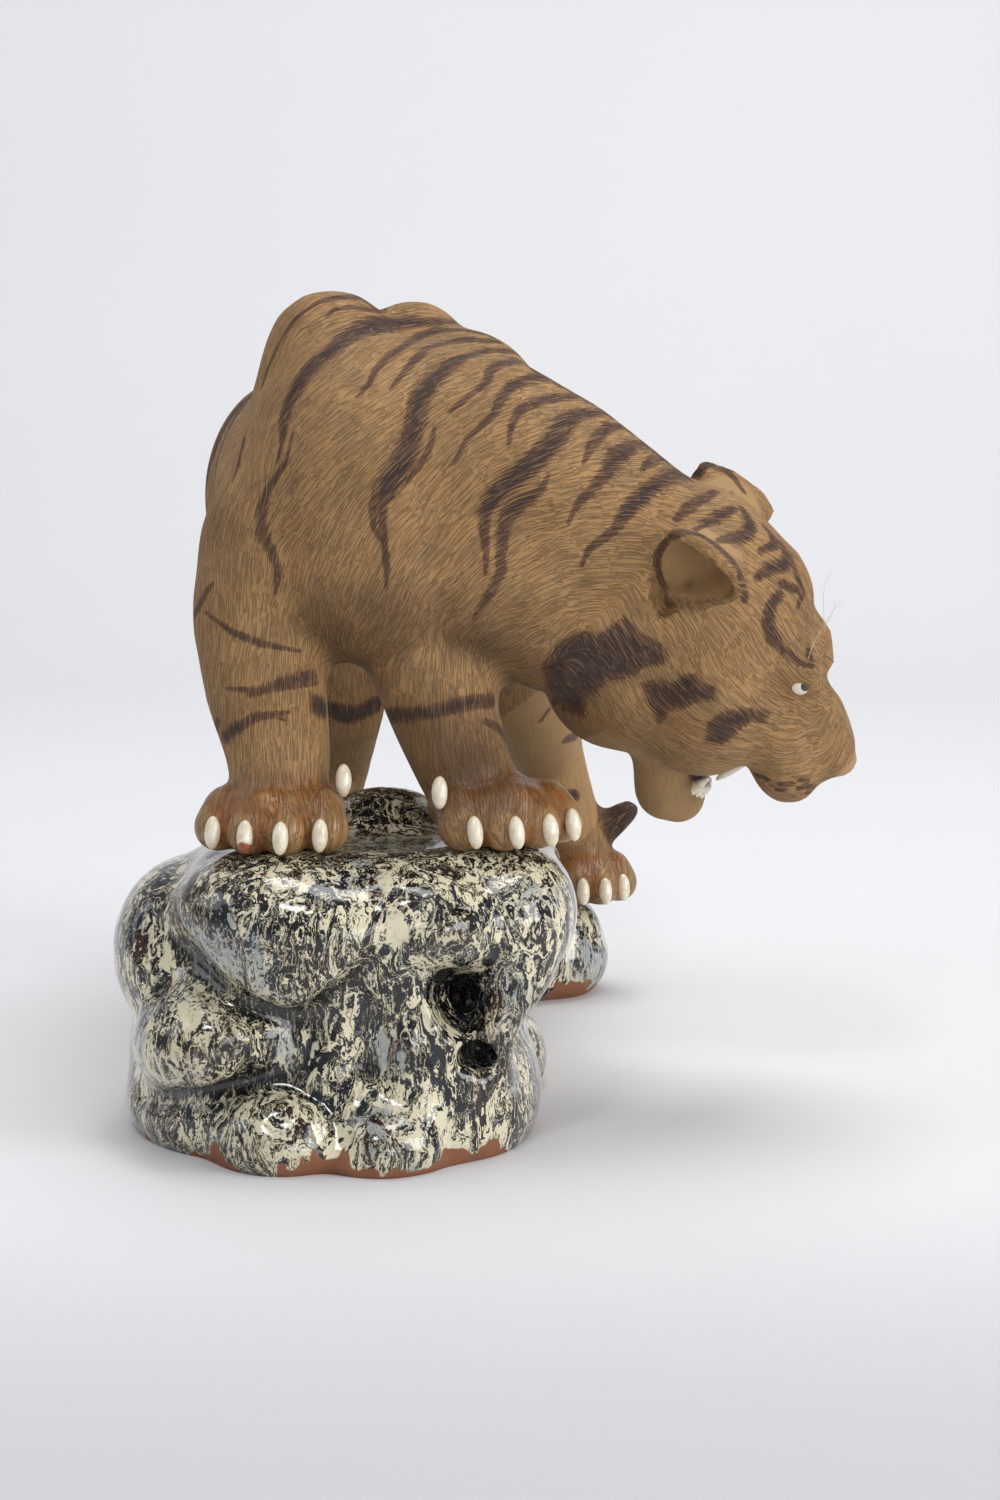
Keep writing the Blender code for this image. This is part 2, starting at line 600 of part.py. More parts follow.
def main():
    clear_scene()
    figurine = placed("figurine", build_figurine())
    figurine.data.materials.clear()
    figurine.data.materials.append(finish("stoneware", (0.42, 0.29, 0.17), 0.8))
    figurine.data.shade_smooth()
    whisker = finish("bristle", (0.85, 0.80, 0.68), 0.5)
    surface = BVHTree.FromPolygons([vert.co for vert in figurine.data.vertices],
                                   [face.vertices for face in figurine.data.polygons])
    for number, (aim, lean, length) in enumerate(BRISTLES, start=1):
        bristle(f"brow_bristle_{number}", surface, aim, lean, length, whisker)
    stand_on_origin(figurine)


main()
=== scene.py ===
import json
import math

import bmesh
import bpy
import numpy as np
from mathutils import Euler, Matrix, Vector
from mathutils.bvhtree import BVHTree

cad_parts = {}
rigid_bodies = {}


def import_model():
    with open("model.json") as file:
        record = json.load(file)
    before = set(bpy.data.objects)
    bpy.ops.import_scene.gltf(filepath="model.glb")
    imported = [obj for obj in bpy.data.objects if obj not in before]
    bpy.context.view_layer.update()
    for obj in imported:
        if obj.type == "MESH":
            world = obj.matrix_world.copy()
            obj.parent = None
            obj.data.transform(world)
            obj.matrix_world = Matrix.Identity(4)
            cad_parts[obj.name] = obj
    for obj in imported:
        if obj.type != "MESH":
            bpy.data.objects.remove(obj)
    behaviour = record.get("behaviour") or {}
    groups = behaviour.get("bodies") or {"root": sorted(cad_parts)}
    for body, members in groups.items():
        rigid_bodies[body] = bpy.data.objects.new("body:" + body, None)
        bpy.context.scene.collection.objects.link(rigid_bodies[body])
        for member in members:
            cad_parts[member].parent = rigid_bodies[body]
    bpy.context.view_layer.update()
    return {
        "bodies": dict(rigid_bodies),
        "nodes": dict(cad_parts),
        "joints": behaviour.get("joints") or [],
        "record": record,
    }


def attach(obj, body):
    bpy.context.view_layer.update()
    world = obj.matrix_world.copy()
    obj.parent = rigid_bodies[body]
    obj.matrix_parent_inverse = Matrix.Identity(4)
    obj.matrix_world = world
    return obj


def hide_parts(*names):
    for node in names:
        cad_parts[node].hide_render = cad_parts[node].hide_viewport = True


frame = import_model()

MM = 0.001
IDENTITY = Matrix.Identity(4)

# Where the origin of the shapes below stands in the frame
DESIGN_PLACE = Vector((-0.80, 3.88, 0.0))

# Sizes and places in millimetres
FRONT_LEDGE_Z = 114.0
REAR_LEDGE_Z = 44.0
ROCK_WIDTH = 126.0
ROCK_DEPTH = 118.0
ROCK_MIDDLE = Vector((-59.0, -111.0, 0.0))
ROCK_WALL = 11.0
SHOULDER_HEIGHT = 246.0
BODY_LENGTH = 202.0
HEAD_REACH = 141.0
SHOULDER = Vector((-43.0, -98.0, SHOULDER_HEIGHT))
HIP = SHOULDER + Vector((-8.0, BODY_LENGTH, -6.0))
TRUNK_RADIUS = 55.0
NECK_RADIUS = 50.0
HIP_SPREAD = 36.0
HEAD = SHOULDER + Vector((HEAD_REACH, 6.0, -44.0))
HEAD_FORWARD = Vector((0.661, 0.072, -0.747))
HEAD_LEFT = Vector((0.249, 0.918, 0.309))
JAW_RADIUS = 12.0
EAR_PLACES = ((-27.0, -39.0, 6.0), (-26.5, 32.0, 0.5))
EAR_LENGTH = 37.0
EAR_HEIGHT = 41.0
EAR_DEPTH = 13.0
EAR_WALL = 3.4
EAR_RIM_RADIUS = 2.4
# Outline of an ear's mouth, in shares of half its length and half its height
EAR_OUTLINE = ((-0.89, 0.66), (-0.33, 0.87), (0.43, 0.94), (0.80, 0.85), (0.86, 0.49), (0.49, -0.32),
               (0.14, -0.78), (-0.16, -0.69), (-0.79, 0.0))
PAW_WIDTH = 55.0
PAW_HEIGHT = 24.0
HIND_PAW_WIDTH = 46.0
HIND_PAW_HEIGHT = 21.0
TOE_RADIUS = 9.4
CLAW_LENGTH = 12.5
CLAW_RADIUS = 3.0
FRONT_PAWS = (((-82.0, -166.0, FRONT_LEDGE_Z - 1), -6.0), ((17.0, -153.0, FRONT_LEDGE_Z - 1), 28.0))
HIND_PAWS = (((48.0, HIP.y - 12, REAR_LEDGE_Z - 1), 12.0), ((-80.0, HIP.y - 14, REAR_LEDGE_Z - 1), -8.0))
DEWCLAW_OFFSETS = (Vector((-34.5, 6.0, 25.0)), Vector((28.5, 23.0, 29.0)))
FANG_LENGTH = 12.0
FANG_RADIUS = 2.8
# Middle of the eyeball in the head: forward, aside and up
EYE_PLACE = (34.9, 15.9, 3.3)
TAIL_RADIUS = 9.5

# Grains that the clay is blended at
BODY_GRAIN = 2.8
SKIN_GRAIN = 1.35
ROCK_GRAIN = 3.4
GLAZE_GRAIN = 1.9

# Camera, in millimetres and degrees
CAMERA_AT = Vector((5.0, -1220.0, 312.0))
CAMERA_TILT = 8.5
CAMERA_LENS = 70.0
SENSOR = 36.0
PICTURE = (1000, 1500)


# Shapes

def sphere_ways(rings=7, spokes=14):
    ways = [Vector((0, 0, 1)), Vector((0, 0, -1))]
    for ring in range(1, rings):
        height = math.cos(math.pi * ring / rings)
        across = math.sin(math.pi * ring / rings)
        for spoke in range(spokes):
            angle = 2 * math.pi * (spoke + 0.5 * (ring % 2)) / spokes
            ways.append(Vector((across * math.cos(angle), across * math.sin(angle), height)))
    return ways


class Lumps:
    """Overlapping lumps of clay, in millimetres."""

    def __init__(self):
        self.mesh = bmesh.new()

    def ball(self, centre, radii, turn=(0, 0, 0), frame=IDENTITY):
        angles = Euler([math.radians(angle) for angle in turn])
        place = Matrix.Translation(centre) @ angles.to_matrix().to_4x4() @ Matrix.Diagonal((*radii, 1.0))
        bmesh.ops.create_icosphere(self.mesh, subdivisions=4, radius=1.0, matrix=frame @ place)

    def hull(self, spheres, frame=IDENTITY):
        made = []
        for centre, radius in spheres:
            for way in sphere_ways():
                made.append(self.mesh.verts.new(frame @ (Vector(centre) + way * radius)))
        skin = bmesh.ops.convex_hull(self.mesh, input=made)
        inside = [part for part in skin["geom_interior"] if isinstance(part, bmesh.types.BMVert)]
        bmesh.ops.delete(self.mesh, geom=inside)

    def limb(self, stations, frame=IDENTITY):
        for near, far in zip(stations, stations[1:]):
            self.hull((near, far), frame)

    def raw(self, name):
        bmesh.ops.recalc_face_normals(self.mesh, faces=self.mesh.faces)
        mesh = bpy.data.meshes.new(name)
        self.mesh.to_mesh(mesh)
        self.mesh.free()
        return mesh

    def blended(self, name, grain, passes):
        return blended(self.raw(name), grain, passes)

    def add(self, mesh):
        self.mesh.from_mesh(mesh)
        bpy.data.meshes.remove(mesh)


def evaluated(piece):
    bpy.context.view_layer.update()
    shape = piece.evaluated_get(bpy.context.evaluated_depsgraph_get())
    mesh = bpy.data.meshes.new_from_object(shape)
    bpy.data.objects.remove(piece)
    return mesh


def placed(name, mesh):
    piece = bpy.data.objects.new(name, mesh)
    bpy.context.collection.objects.link(piece)
    return piece


def blended(mesh, grain, passes):
    piece = placed("blend", mesh)
    skin = piece.modifiers.new("skin", "REMESH")
    skin.mode = "VOXEL"
    skin.voxel_size = grain
    soften = piece.modifiers.new("soften", "SMOOTH")
    soften.factor = 0.5
    soften.iterations = passes
    return evaluated(piece)


def cut(mesh, cutter_mesh):
    piece = placed("cut", mesh)
    cutter = placed("cutter", cutter_mesh)
    opening = piece.modifiers.new("opening", "BOOLEAN")
    opening.operation = "DIFFERENCE"
    opening.solver = "MANIFOLD"
    opening.object = cutter
    mesh = evaluated(piece)
    bpy.data.objects.remove(cutter)
    return mesh


def tree_of(mesh):
    faces = [face.vertices for face in mesh.polygons]
    return BVHTree.FromPolygons([vert.co for vert in mesh.vertices], faces)


def head_frame():
    """Head coordinates: X to the nose, Y to the tiger's left ear, Z to the top of its skull."""
    forward = HEAD_FORWARD.normalized()
    left = (HEAD_LEFT - forward * forward.dot(HEAD_LEFT)).normalized()
    turn = Matrix((forward, left, forward.cross(left))).transposed()
    return Matrix.Translation(HEAD) @ turn.to_4x4()


def paw_frame(toes, heading):
    """Paw coordinates: X across, -Y to the toes and Z up, with the origin under the toe tips."""
    return Matrix.Translation(toes) @ Matrix.Rotation(math.radians(heading), 4, "Z")


def bent_limb(clay, top, top_radius, end, end_radius, bends):
    stations = [(top, top_radius)]
    for share, sideways, backward, upward, radius in bends:
        stations.append((top.lerp(end, share) + Vector((sideways, backward, upward)), radius))
    stations.append((end, end_radius))
    clay.limb(stations)


def trunk(clay):
    middle = SHOULDER.lerp(HIP, 0.45)
    clay.limb(((SHOULDER, TRUNK_RADIUS), (middle, TRUNK_RADIUS), (HIP, TRUNK_RADIUS - 1)))
    clay.ball(middle + Vector((0, -30, -3)), (TRUNK_RADIUS + 9, 86, TRUNK_RADIUS + 7), (-4, 0, 0))
    clay.ball(SHOULDER + Vector((2, -6, -26)), (46, 44, 42))
    # Shoulder blades stand up on each side of the spine, the right one higher
    blade = Vector((-17, 16, 49))
    clay.limb((
        (SHOULDER + blade, 27),
        (SHOULDER + Vector((-24, 4, 20)), 27),
        (SHOULDER + Vector((-33, -10, -12)), 29)))
    blade = Vector((14, 34, 49))
    clay.limb((
        (SHOULDER + blade, 23),
        (SHOULDER + Vector((19, 14, 16)), 27),
        (SHOULDER + Vector((29, -2, -10)), 28)))
    clay.ball(SHOULDER + Vector((-19, 30, 26)), (27, 30, 27))
    clay.ball(SHOULDER + Vector((-14, -6, 34)), (24, 26, 22))
    # Spine, rump and the loins in front of the thighs
    clay.limb(((SHOULDER + Vector((-4, 40, 44)), 24), (middle + Vector((0, 20, 36)), 26),
               (HIP + Vector((0, 4, 34)), 28), (HIP + Vector((0, 40, 16)), 26)))
    clay.ball(HIP + Vector((0, -44, -8)), (56, 60, 46), (8, 0, 0))
    for side in (-1, 1):
        clay.ball(HIP + Vector((25 * side, -42, 2)), (36, 56, 46), (10, 0, 0))


def neck(clay):
    clay.ball(SHOULDER + Vector((31, 22, 26)), (35, 36, 35))
    bends = (
        (0.277, 0, 0, 10, NECK_RADIUS), (0.5, 0, 0, 6, NECK_RADIUS - 1), (0.716, 0, 0, -0.5, NECK_RADIUS - 5))
    bent_limb(clay, SHOULDER + Vector((-2, 2, 8)), NECK_RADIUS + 2, HEAD + Vector((-6, 2, -4)), 28, bends)
    bends = ((0.3, 0, -6, -12, 44), (0.56, 0, -6, -19, 38))
    bent_limb(clay, SHOULDER, 44, HEAD, 30, bends)


def forelegs(clay):
    right_paw, left_paw = (Vector(place) for place, heading in FRONT_PAWS)
    ankle = Vector((4, 32, 19))
    bends = ((0.3, -7, 11, 0, 27.5), (0.58, -5.5, 8, 0, 24), (0.83, -0.5, 4, 0, 20.5))
    bent_limb(clay, SHOULDER + Vector((-37, -12, -20)), 30, right_paw + ankle, 19, bends)
    ankle = Vector((-21, 28, 19))
    bends = ((0.3, -12, 4, 0, 27), (0.49, -14, 5, 0, 25), (0.745, -9, 3, 0, 21), (0.888, -5, 1, 0, 19))
    bent_limb(clay, SHOULDER + Vector((31, 0, -16)), 29, left_paw + ankle, 18, bends)


def hind_legs(clay):
    left_paw, right_paw = (Vector(place) for place, heading in HIND_PAWS)
    for side in (-1, 1):
        hip = HIP + Vector((HIP_SPREAD * side, 0, 0))
        clay.hull((
            (hip + Vector((-3 * side, 26, 14)), 30),
            (hip + Vector((-4 * side, -34, 8)), 34),
            (hip + Vector((5 * side, -40, -42)), 32),
            (hip + Vector((3 * side, -2, -52)), 25),
            (hip + Vector((2 * side, 28, -18)), 25)))
        clay.ball(hip + Vector((2 * side, -6, -10)), (39, 54, 54), (14, 0, 0))
    bends = ((0.29, 5, -36, 0, 33), (0.53, 3, -17, 0, 21.5), (0.72, 1, 15, 0, 16.5), (0.89, 0, 7, 0, 14.5))
    bent_limb(clay, HIP + Vector((HIP_SPREAD, -10, -14)), 40, left_paw + Vector((-4, 22, 17)), 13.5, bends)
    bends = ((0.29, 5, -34, 0, 33), (0.53, 15, -15, 0, 21.5), (0.72, 10, 15, 0, 16.5), (0.89, 3, 7, 0, 14.5))
    bent_limb(clay, HIP + Vector((-HIP_SPREAD, -10, -14)), 40, right_paw + Vector((1, 22, 17)), 13.5, bends)


TAIL_ROUTE = (
    (0, 44, 26, 7), (1, 64, 6, 4), (5, 72, -34, 2), (14, 70, -76, 1), (32, 64, -112, 0.5), (56, 52, -140, 0),
    (78, 38, -160, -0.5), (96, 26, -168, -1), (107, 18, -164, -1.5), (116, 14, -156, -3.5))


def tail(clay):
    clay.limb([(HIP + Vector((x, y, z)), TAIL_RADIUS + more) for x, y, z, more in TAIL_ROUTE])


def skull(clay, frame):
    clay.ball((-10, 0, -8), (50, 40, 35.5), frame=frame)
    clay.ball((-34, 0, -26), (34, 43, 45), frame=frame)
    for side in (-1, 1):
        # Cheeks, the ruff behind them, the ridge over each eye and the upper lip
        clay.ball((14, 24 * side, -28), (36, 20, 29), (0, 35, 0), frame)
        clay.ball((-6, 23 * side, -46), (30, 22, 35), (0, 20, 0), frame)
        clay.ball((30.5, 12 * side, 4.5), (16, 11.5, 11.5), (0, 15, 0), frame)
        clay.ball((9, 21 * side, -52), (19, 16, 17), frame=frame)
        clay.ball((44, 18 * side, -18), (20, 14, 15), frame=frame)
        clay.ball((58, 12 * side, -24), (21, 15, 15), (0, 28, 0), frame)
    # Bridge of the nose
    for side in (-1, 1):
        bridge = (((30, 7 * side, -12), 14), ((57, 5.5 * side, -10), 12.5), ((70, 4.5 * side, -13), 10.5))
        clay.limb(bridge, frame)


def lower_jaw(clay, frame):
    for side in (-1, 1):
        clay.limb((
            ((4, 19 * side, -50), JAW_RADIUS + 4),
            ((26, 13.5 * side, -61.5), JAW_RADIUS),
            ((42.5, 8 * side, -75.5), JAW_RADIUS + 0.5)), frame)
    clay.hull((((27, 9, -65), JAW_RADIUS - 2), ((27, -9, -65), JAW_RADIUS - 2),
               ((44, 5, -77), JAW_RADIUS), ((44, -5, -77), JAW_RADIUS),
               ((51, 4, -75), JAW_RADIUS - 2), ((51, -4, -75), JAW_RADIUS - 2)), frame)


def face(clay, frame):
    for side in (-1, 1):
        clay.ball((61, 10.5 * side, -25), (17, 12.5, 13), (0, 28, 0), frame)
        upper_lid = (((24, 21.5 * side, 4), 4), ((34.5, 18 * side, 9.5), 3.8), ((43, 11 * side, 6), 3.2))
        lower_lid = (((29, 22.2 * side, -2.6), 3), ((38, 18.8 * side, -0.2), 2.4), ((46, 12 * side, 0), 2.4))
        clay.limb(upper_lid, frame)
        clay.limb(lower_lid, frame)
        clay.limb((((36, 11 * side, -65), 3), ((24, 14 * side, -57), 3)), frame)
        ear(clay, side)
    clay.ball((76, 0, -13), (5.5, 9.5, 7), (0, 30, 0), frame)
    clay.limb((((16, 0, -55), 9), ((28, 0, -61), 8), ((38, 0, -66), 6)), frame)


def tufts(clay):
    """Hair that grows in front of the lower end of each ear's mouth."""
    for side in (-1, 1):
        for across, up, radius in ((5, -13, 4.5), (8, -10, 4), (2, -16, 4)):
            clay.ball((across, up, -2.5), (radius, radius + 2, 4), frame=ear_frame(side))


def ear_frame(side):
    """Ear coordinates: X along the head, Y to its top and Z out of the ear, from the middle of its mouth."""
    outward = Vector((0.0, 0.93 * side, -0.37)).normalized()
    along = Vector((1, 0, 0.12))
    along = (along - outward * outward.dot(along)).normalized()
    up = outward.cross(along) * -side
    turn = Matrix((along, up, outward)).transposed().to_4x4()
    return head_frame() @ Matrix.Translation(EAR_PLACES[side > 0]) @ turn


def ear_ring(inset, height):
    """Points round the mouth of an ear, moved in from its outline, at a height above it."""
    for share_x, share_y in EAR_OUTLINE:
        across = share_x * EAR_LENGTH / 2
        up = share_y * EAR_HEIGHT / 2
        inward = 1 - inset / math.hypot(across, up)
        yield across * inward, up * inward, height


def ear(clay, side):
    """A cup of clay that stands off the side of the skull, with its lower end in the cheek."""
    rim = [(spot, EAR_RIM_RADIUS) for spot in ear_ring(0, 0)]
    back = [((-3, 5, -EAR_DEPTH), 8), ((6, 7, -EAR_DEPTH), 8)]
    back += [((2, 2, -EAR_DEPTH - 8), 9), ((3, -12, -EAR_DEPTH), 6)]
    clay.hull(rim + back, ear_frame(side))


def ear_hollows():
    space = Lumps()
    for side in (-1, 1):
        mouth = [(spot, EAR_WALL / 2) for spot in ear_ring(EAR_WALL, 0)]
        above = [(spot, EAR_WALL / 2) for spot in ear_ring(EAR_WALL - 1, 9)]
        bottom = [((-4, 7, EAR_WALL - EAR_DEPTH), 3), ((5, 8, EAR_WALL - EAR_DEPTH), 3), ((2, -5, -5), 2)]
        space.hull(mouth + above + bottom, ear_frame(side))
    return space.raw("ear_hollows")


def paw_mass(clay, frame, width, height):
    clay.hull((
        ((-width * 0.24, 20, height * 0.48), height * 0.46),
        ((width * 0.24, 20, height * 0.48), height * 0.46),
        ((0, 34, height * 0.72), height * 0.55),
        ((0, 14, height * 0.62), height * 0.42)), frame)


def toe_places(width):
    pitch = (width - 2 * TOE_RADIUS) / 3
    for number, back in enumerate((9.0, 1.5, 0.0, 7.0)):
        across = (number - 1.5) * pitch
        yield across, back, across * 0.12


def toes(clay, frame, width, height):
    for across, back, fan in toe_places(width):
        clay.limb((
            ((across * 0.92, back + 26, height * 0.62), TOE_RADIUS * 0.95),
            ((across, back + 15, height * 0.62), TOE_RADIUS),
            ((across + fan, back + 8.5, height * 0.40), TOE_RADIUS)), frame)


def all_paws():
    pairs = ((FRONT_PAWS, PAW_WIDTH, PAW_HEIGHT), (HIND_PAWS, HIND_PAW_WIDTH, HIND_PAW_HEIGHT))
    for paws, width, height in pairs:
        for place, heading in paws:
            yield paw_frame(place, heading), width, height


def tiger_skin():
    clay = Lumps()
    frame = head_frame()
    trunk(clay)
    neck(clay)
    skull(clay, frame)
    lower_jaw(clay, frame)
    forelegs(clay)
    hind_legs(clay)
    tail(clay)
    body = clay.blended("tiger", BODY_GRAIN, 12)
    clay = Lumps()
    clay.add(body)
    face(clay, frame)
    for paw, width, height in all_paws():
        paw_mass(clay, paw, width, height)
        toes(clay, paw, width, height)
    skin = cut(clay.blended("skin", SKIN_GRAIN, 3), ear_hollows())
    clay = Lumps()
    clay.add(skin)
    tufts(clay)
    return clay.blended("skin", SKIN_GRAIN, 2)


def claws():
    ivory = Lumps()
    for paw, width, height in all_paws():
        for across, back, fan in toe_places(width):
            claw(ivory, paw, Vector((across + fan, back - 1.4, height * 0.48)))
    for place, heading in FRONT_PAWS:
        claw(ivory, IDENTITY, Vector(place) + DEWCLAW_OFFSETS[heading < 0])
    return ivory.raw("claws")


def claw(ivory, frame, root):
    radii = (CLAW_RADIUS, CLAW_RADIUS, CLAW_LENGTH / 2)
    ivory.ball(root + Vector((0, -0.5, -2.4)), radii, (-14, 0, 0), frame)


def teeth():
    ivory = Lumps()
    frame = head_frame()
    for side in (-1, 1):
        fang(ivory, frame, Vector((49.6, 12.5 * side, -40.2)), Vector((0.05, 0, -1)))
        fang(ivory, frame, Vector((48.5, 8.5 * side, -68)), Vector((0.0, 0.1 * side, 1)))
    for number in range(9):
        angle = math.radians(-88 + 22 * number)
        across, ahead = math.sin(angle), math.cos(angle)
        ivory.ball((43 + 10.5 * ahead, 9.5 * across, -67.5), (2.8, 2.4, 5.6), frame=frame)
        ivory.ball((62 + 8 * ahead, 10 * across, -35.5), (1.9, 1.9, 3.4), frame=frame)
    return ivory.raw("teeth")


def fang(ivory, frame, root, way):
    tip = root + way.normalized() * FANG_LENGTH
    middle = root.lerp(tip, 0.55)
    ivory.limb(((root, FANG_RADIUS), (middle, FANG_RADIUS * 0.75), (tip, FANG_RADIUS * 0.25)), frame)


def eyes():
    white = Lumps()
    across, aside, up = EYE_PLACE
    for side in (-1, 1):
        white.ball((across, aside * side, up), (6.9, 6.6, 6.2), frame=head_frame())
    return white.raw("eyes")


def rock_sides():
    """Right and left of the high front part of the rock, along X, and its front and back, along Y."""
    half = Vector((ROCK_WIDTH / 2, ROCK_DEPTH / 2, 0))
    low, high = ROCK_MIDDLE - half, ROCK_MIDDLE + half
    return low.x, high.x, low.y, high.y


def front_bed(clay):
    """The high front part of the rock: a ledge on overhanging bulges, with folds below them."""
    right, left, front, back = rock_sides()
    middle = ROCK_MIDDLE.x
    top = FRONT_LEDGE_Z
    ledge = top - 16
    clay.hull((
        ((right + 24, front + 32, ledge), 16), ((right + 40, front + 12, ledge), 16),
        ((left - 24, front + 18, ledge), 16), ((left + 10, front + 34, ledge), 16),
        ((left + 10, back - 40, ledge), 16), ((right + 24, back - 40, ledge), 16)))
    clay.ball((middle - 3, front + 20, top - 26), (56, 42, 27), (0, 8, 0))
    clay.ball((middle - 10, front + 18, top - 40), (36, 38, 24))
    clay.ball((left + 3, front + 40, top - 27), (28, 42, 29))
    clay.ball((left - 26, front + 18, top - 22), (32, 38, 20), (0, 20, 0))
    clay.ball((right + 11, front + 58, top - 46), (34, 46, 38), (0, -10, 0))
    clay.ball((right + 20, front + 28, 46), (34, 45, 24), (0, -20, 0))
    clay.ball((left - 44, back - 38, top - 15), (34, 28, 30))
    clay.hull((((right + 32, front + 50, 40), 36), ((left - 16, front + 50, 40), 28),
               ((left - 16, back - 18, 40), 30), ((right + 32, back - 14, 40), 36)))
    clay.ball((left - 28, front + 44, top - 48), (30, 22, 26))
    clay.ball((middle - 5, back - 32, top - 32), (42, 28, 28))
    # Buttress beside the pits, and the foot of the rock
    clay.limb((
        ((left - 38, front + 12, top - 32), 16), ((left - 30, front + 6, 50), 17),
        ((left - 24, front + 12, 12), 22)))
    clay.limb((((middle + 3, front + 10, 46), 16), ((middle - 11, front + 6, 28), 14),
               ((middle + 11, front + 4, 22), 14), ((left - 30, front + 6, 6), 18)))
    clay.limb((
        ((left + 10, front + 20, top - 44), 13), ((left - 1, front + 10, 50), 9),
        ((left - 10, front + 12, 30), 16)))
    for centre, radii, turn in (
            ((right + 14, front + 44, 12), (30, 48, 24), 24),
            ((right + 44, front + 26, 10), (34, 50, 25), 6),
            ((left - 40, front + 24, 8), (34, 50, 22), -8),
            ((left - 10, front + 38, 16), (26, 46, 32), -14),
            ((right + 10, back - 40, 24), (30, 52, 40), 0),
            ((right + 2, back - 10, 30), (22, 40, 34), -14)):
        clay.ball(centre, radii, (0, 0, turn))


def rear_bed(clay):
    """The low part of the rock, which carries the hind paws."""
    ledge = REAR_LEDGE_Z - 15
    rear = HIP.y
    clay.ball((8, -52, 11), (17, 26, 19))
    clay.hull((
        ((-74, -60, 40), 36), ((-30, -50, 32), 32), ((-66, rear - 84, 22), 32), ((-28, rear - 84, 18), 26)))
    clay.ball((-84, -14, 20), (34, 46, 36), (0, 0, 16))
    clay.ball((-22, rear - 90, 12), (32, 44, 28), (0, 0, -10))
    clay.ball((-76, rear - 52, 14), (36, 46, 32), (0, 0, -12))
    clay.ball((-40, rear - 38, 6), (44, 42, 24))
    clay.hull((((-84, rear - 6, ledge), 15), ((-84, rear + 30, ledge), 15), ((-20, rear + 46, ledge), 15),
               ((36, rear + 24, ledge), 15), ((38, rear + 2, ledge), 15), ((-10, rear - 30, ledge), 15)))
    clay.ball((-84, rear + 14, 18), (34, 40, 27), (0, 0, 10))
    clay.ball((-30, rear + 34, 16), (48, 36, 27), (0, 0, 8))
    clay.ball((22, rear + 12, 16), (34, 36, 25), (0, 0, 30))
    clay.ball((-8, rear - 20, 14), (36, 30, 27), (0, 0, 34))
    clay.ball((-30, rear + 4, 12), (48, 40, 22))


# Folds in the front of the rock, as seen from the front: across from its middle, up, and the fold's radius
FOLDS = (
    ((-66, 86, 5), (-53, 75, 6), (-35, 63, 7.5), (-17, 56, 8), (-8, 55, 8), (4, 64, 7.5), (20, 79, 6.5),
     (33, 93, 5), (52, 101, 4)),
    ((-76, 16, 4), (-52, 25, 5.5), (-32, 30, 6), (-10, 38, 6.5), (-3, 53, 5)),
    ((-19, 33, 5), (0, 26, 5), (9, 11, 5), (14, 4, 4)),
    ((-42, 10, 3), (-16, 20, 4), (0, 11, 3)),
    ((15, 64, 4), (22, 52, 4.5), (25, 41, 4), (25, 20, 3)),
    ((29, 60, 4), (37, 49, 4.5), (42, 36, 4.5), (44, 19, 4), (45, 3, 4)),
    ((59, 42, 3.5), (62, 33, 4), (64, 19, 4), (63, 5, 3.5)),
    ((-68, 92, 4), (-71, 81, 4.5), (-61, 65, 5), (-75, 49, 4)))


def folds(bed):
    """Grooves along the folds, each point on the rock's face behind where the front view shows it."""
    surface = tree_of(bed)
    dark = Lumps()
    for fold in FOLDS:
        stations = []
        for across, up, radius in fold:
            spot = Vector((ROCK_MIDDLE.x + across, ROCK_MIDDLE.y - 2 * ROCK_DEPTH, up))
            hit = surface.ray_cast(spot, Vector((0, 1, 0)))[0]
            if hit:
                stations.append((hit, radius))
        dark.limb(stations)
    return dark.blended("folds", BODY_GRAIN, 2)


def pits():
    """Deep holes between the folds of the rock's front."""
    left, front = rock_sides()[1:3]
    dark = Lumps()
    dark.ball((left - 14, front - 14, FRONT_LEDGE_Z - 54), (10.5, 31, 17), (0, -28, 0))
    dark.ball((left - 7, front - 12, 40), (9, 28, 6.5), (0, 20, 0))
    return dark.raw("pits")


def hollow():
    """The space under the rock, open below, that leaves a wall of clay round it."""
    space = Lumps()
    top = FRONT_LEDGE_Z - ROCK_WALL - 20
    right, left, front, back = rock_sides()
    right, left, front, back = right + ROCK_WALL, left - ROCK_WALL, front + ROCK_WALL, back - ROCK_WALL
    low, high = 16, 12
    space.hull((
        ((right + low, front + low, -10), low), ((left - low, front + low, -10), low),
        ((left - low, back - low, -10), low), ((right + low, back - low, -10), low),
        ((right + 16, front + 46, top), high), ((left - 40, front + 46, top), high),
        ((left - 40, back - 38, top), high), ((right + 16, back - 38, top), high)))
    return space.raw("hollow")


def rock():
    clay = Lumps()
    front_bed(clay)
    rear_bed(clay)
    bed = clay.blended("rock", ROCK_GRAIN, 5)
    bed = cut(bed, folds(bed))
    bed = cut(blended(bed, BODY_GRAIN, 4), pits())
    clay = Lumps()
    clay.add(bed)
    mesh = cut(clay.blended("glaze", GLAZE_GRAIN, 3), hollow())
    foot = Lumps()
    foot.add(mesh)
    bmesh.ops.bisect_plane(
        foot.mesh, geom=[*foot.mesh.verts, *foot.mesh.edges, *foot.mesh.faces], clear_inner=True,
        plane_co=(0, 0, 0), plane_no=(0, 0, 1))
    bmesh.ops.holes_fill(foot.mesh, edges=[edge for edge in foot.mesh.edges if edge.is_boundary], sides=0)
    return foot.raw("rock")


# Painting: strokes are drawn on the picture and cast onto the clay

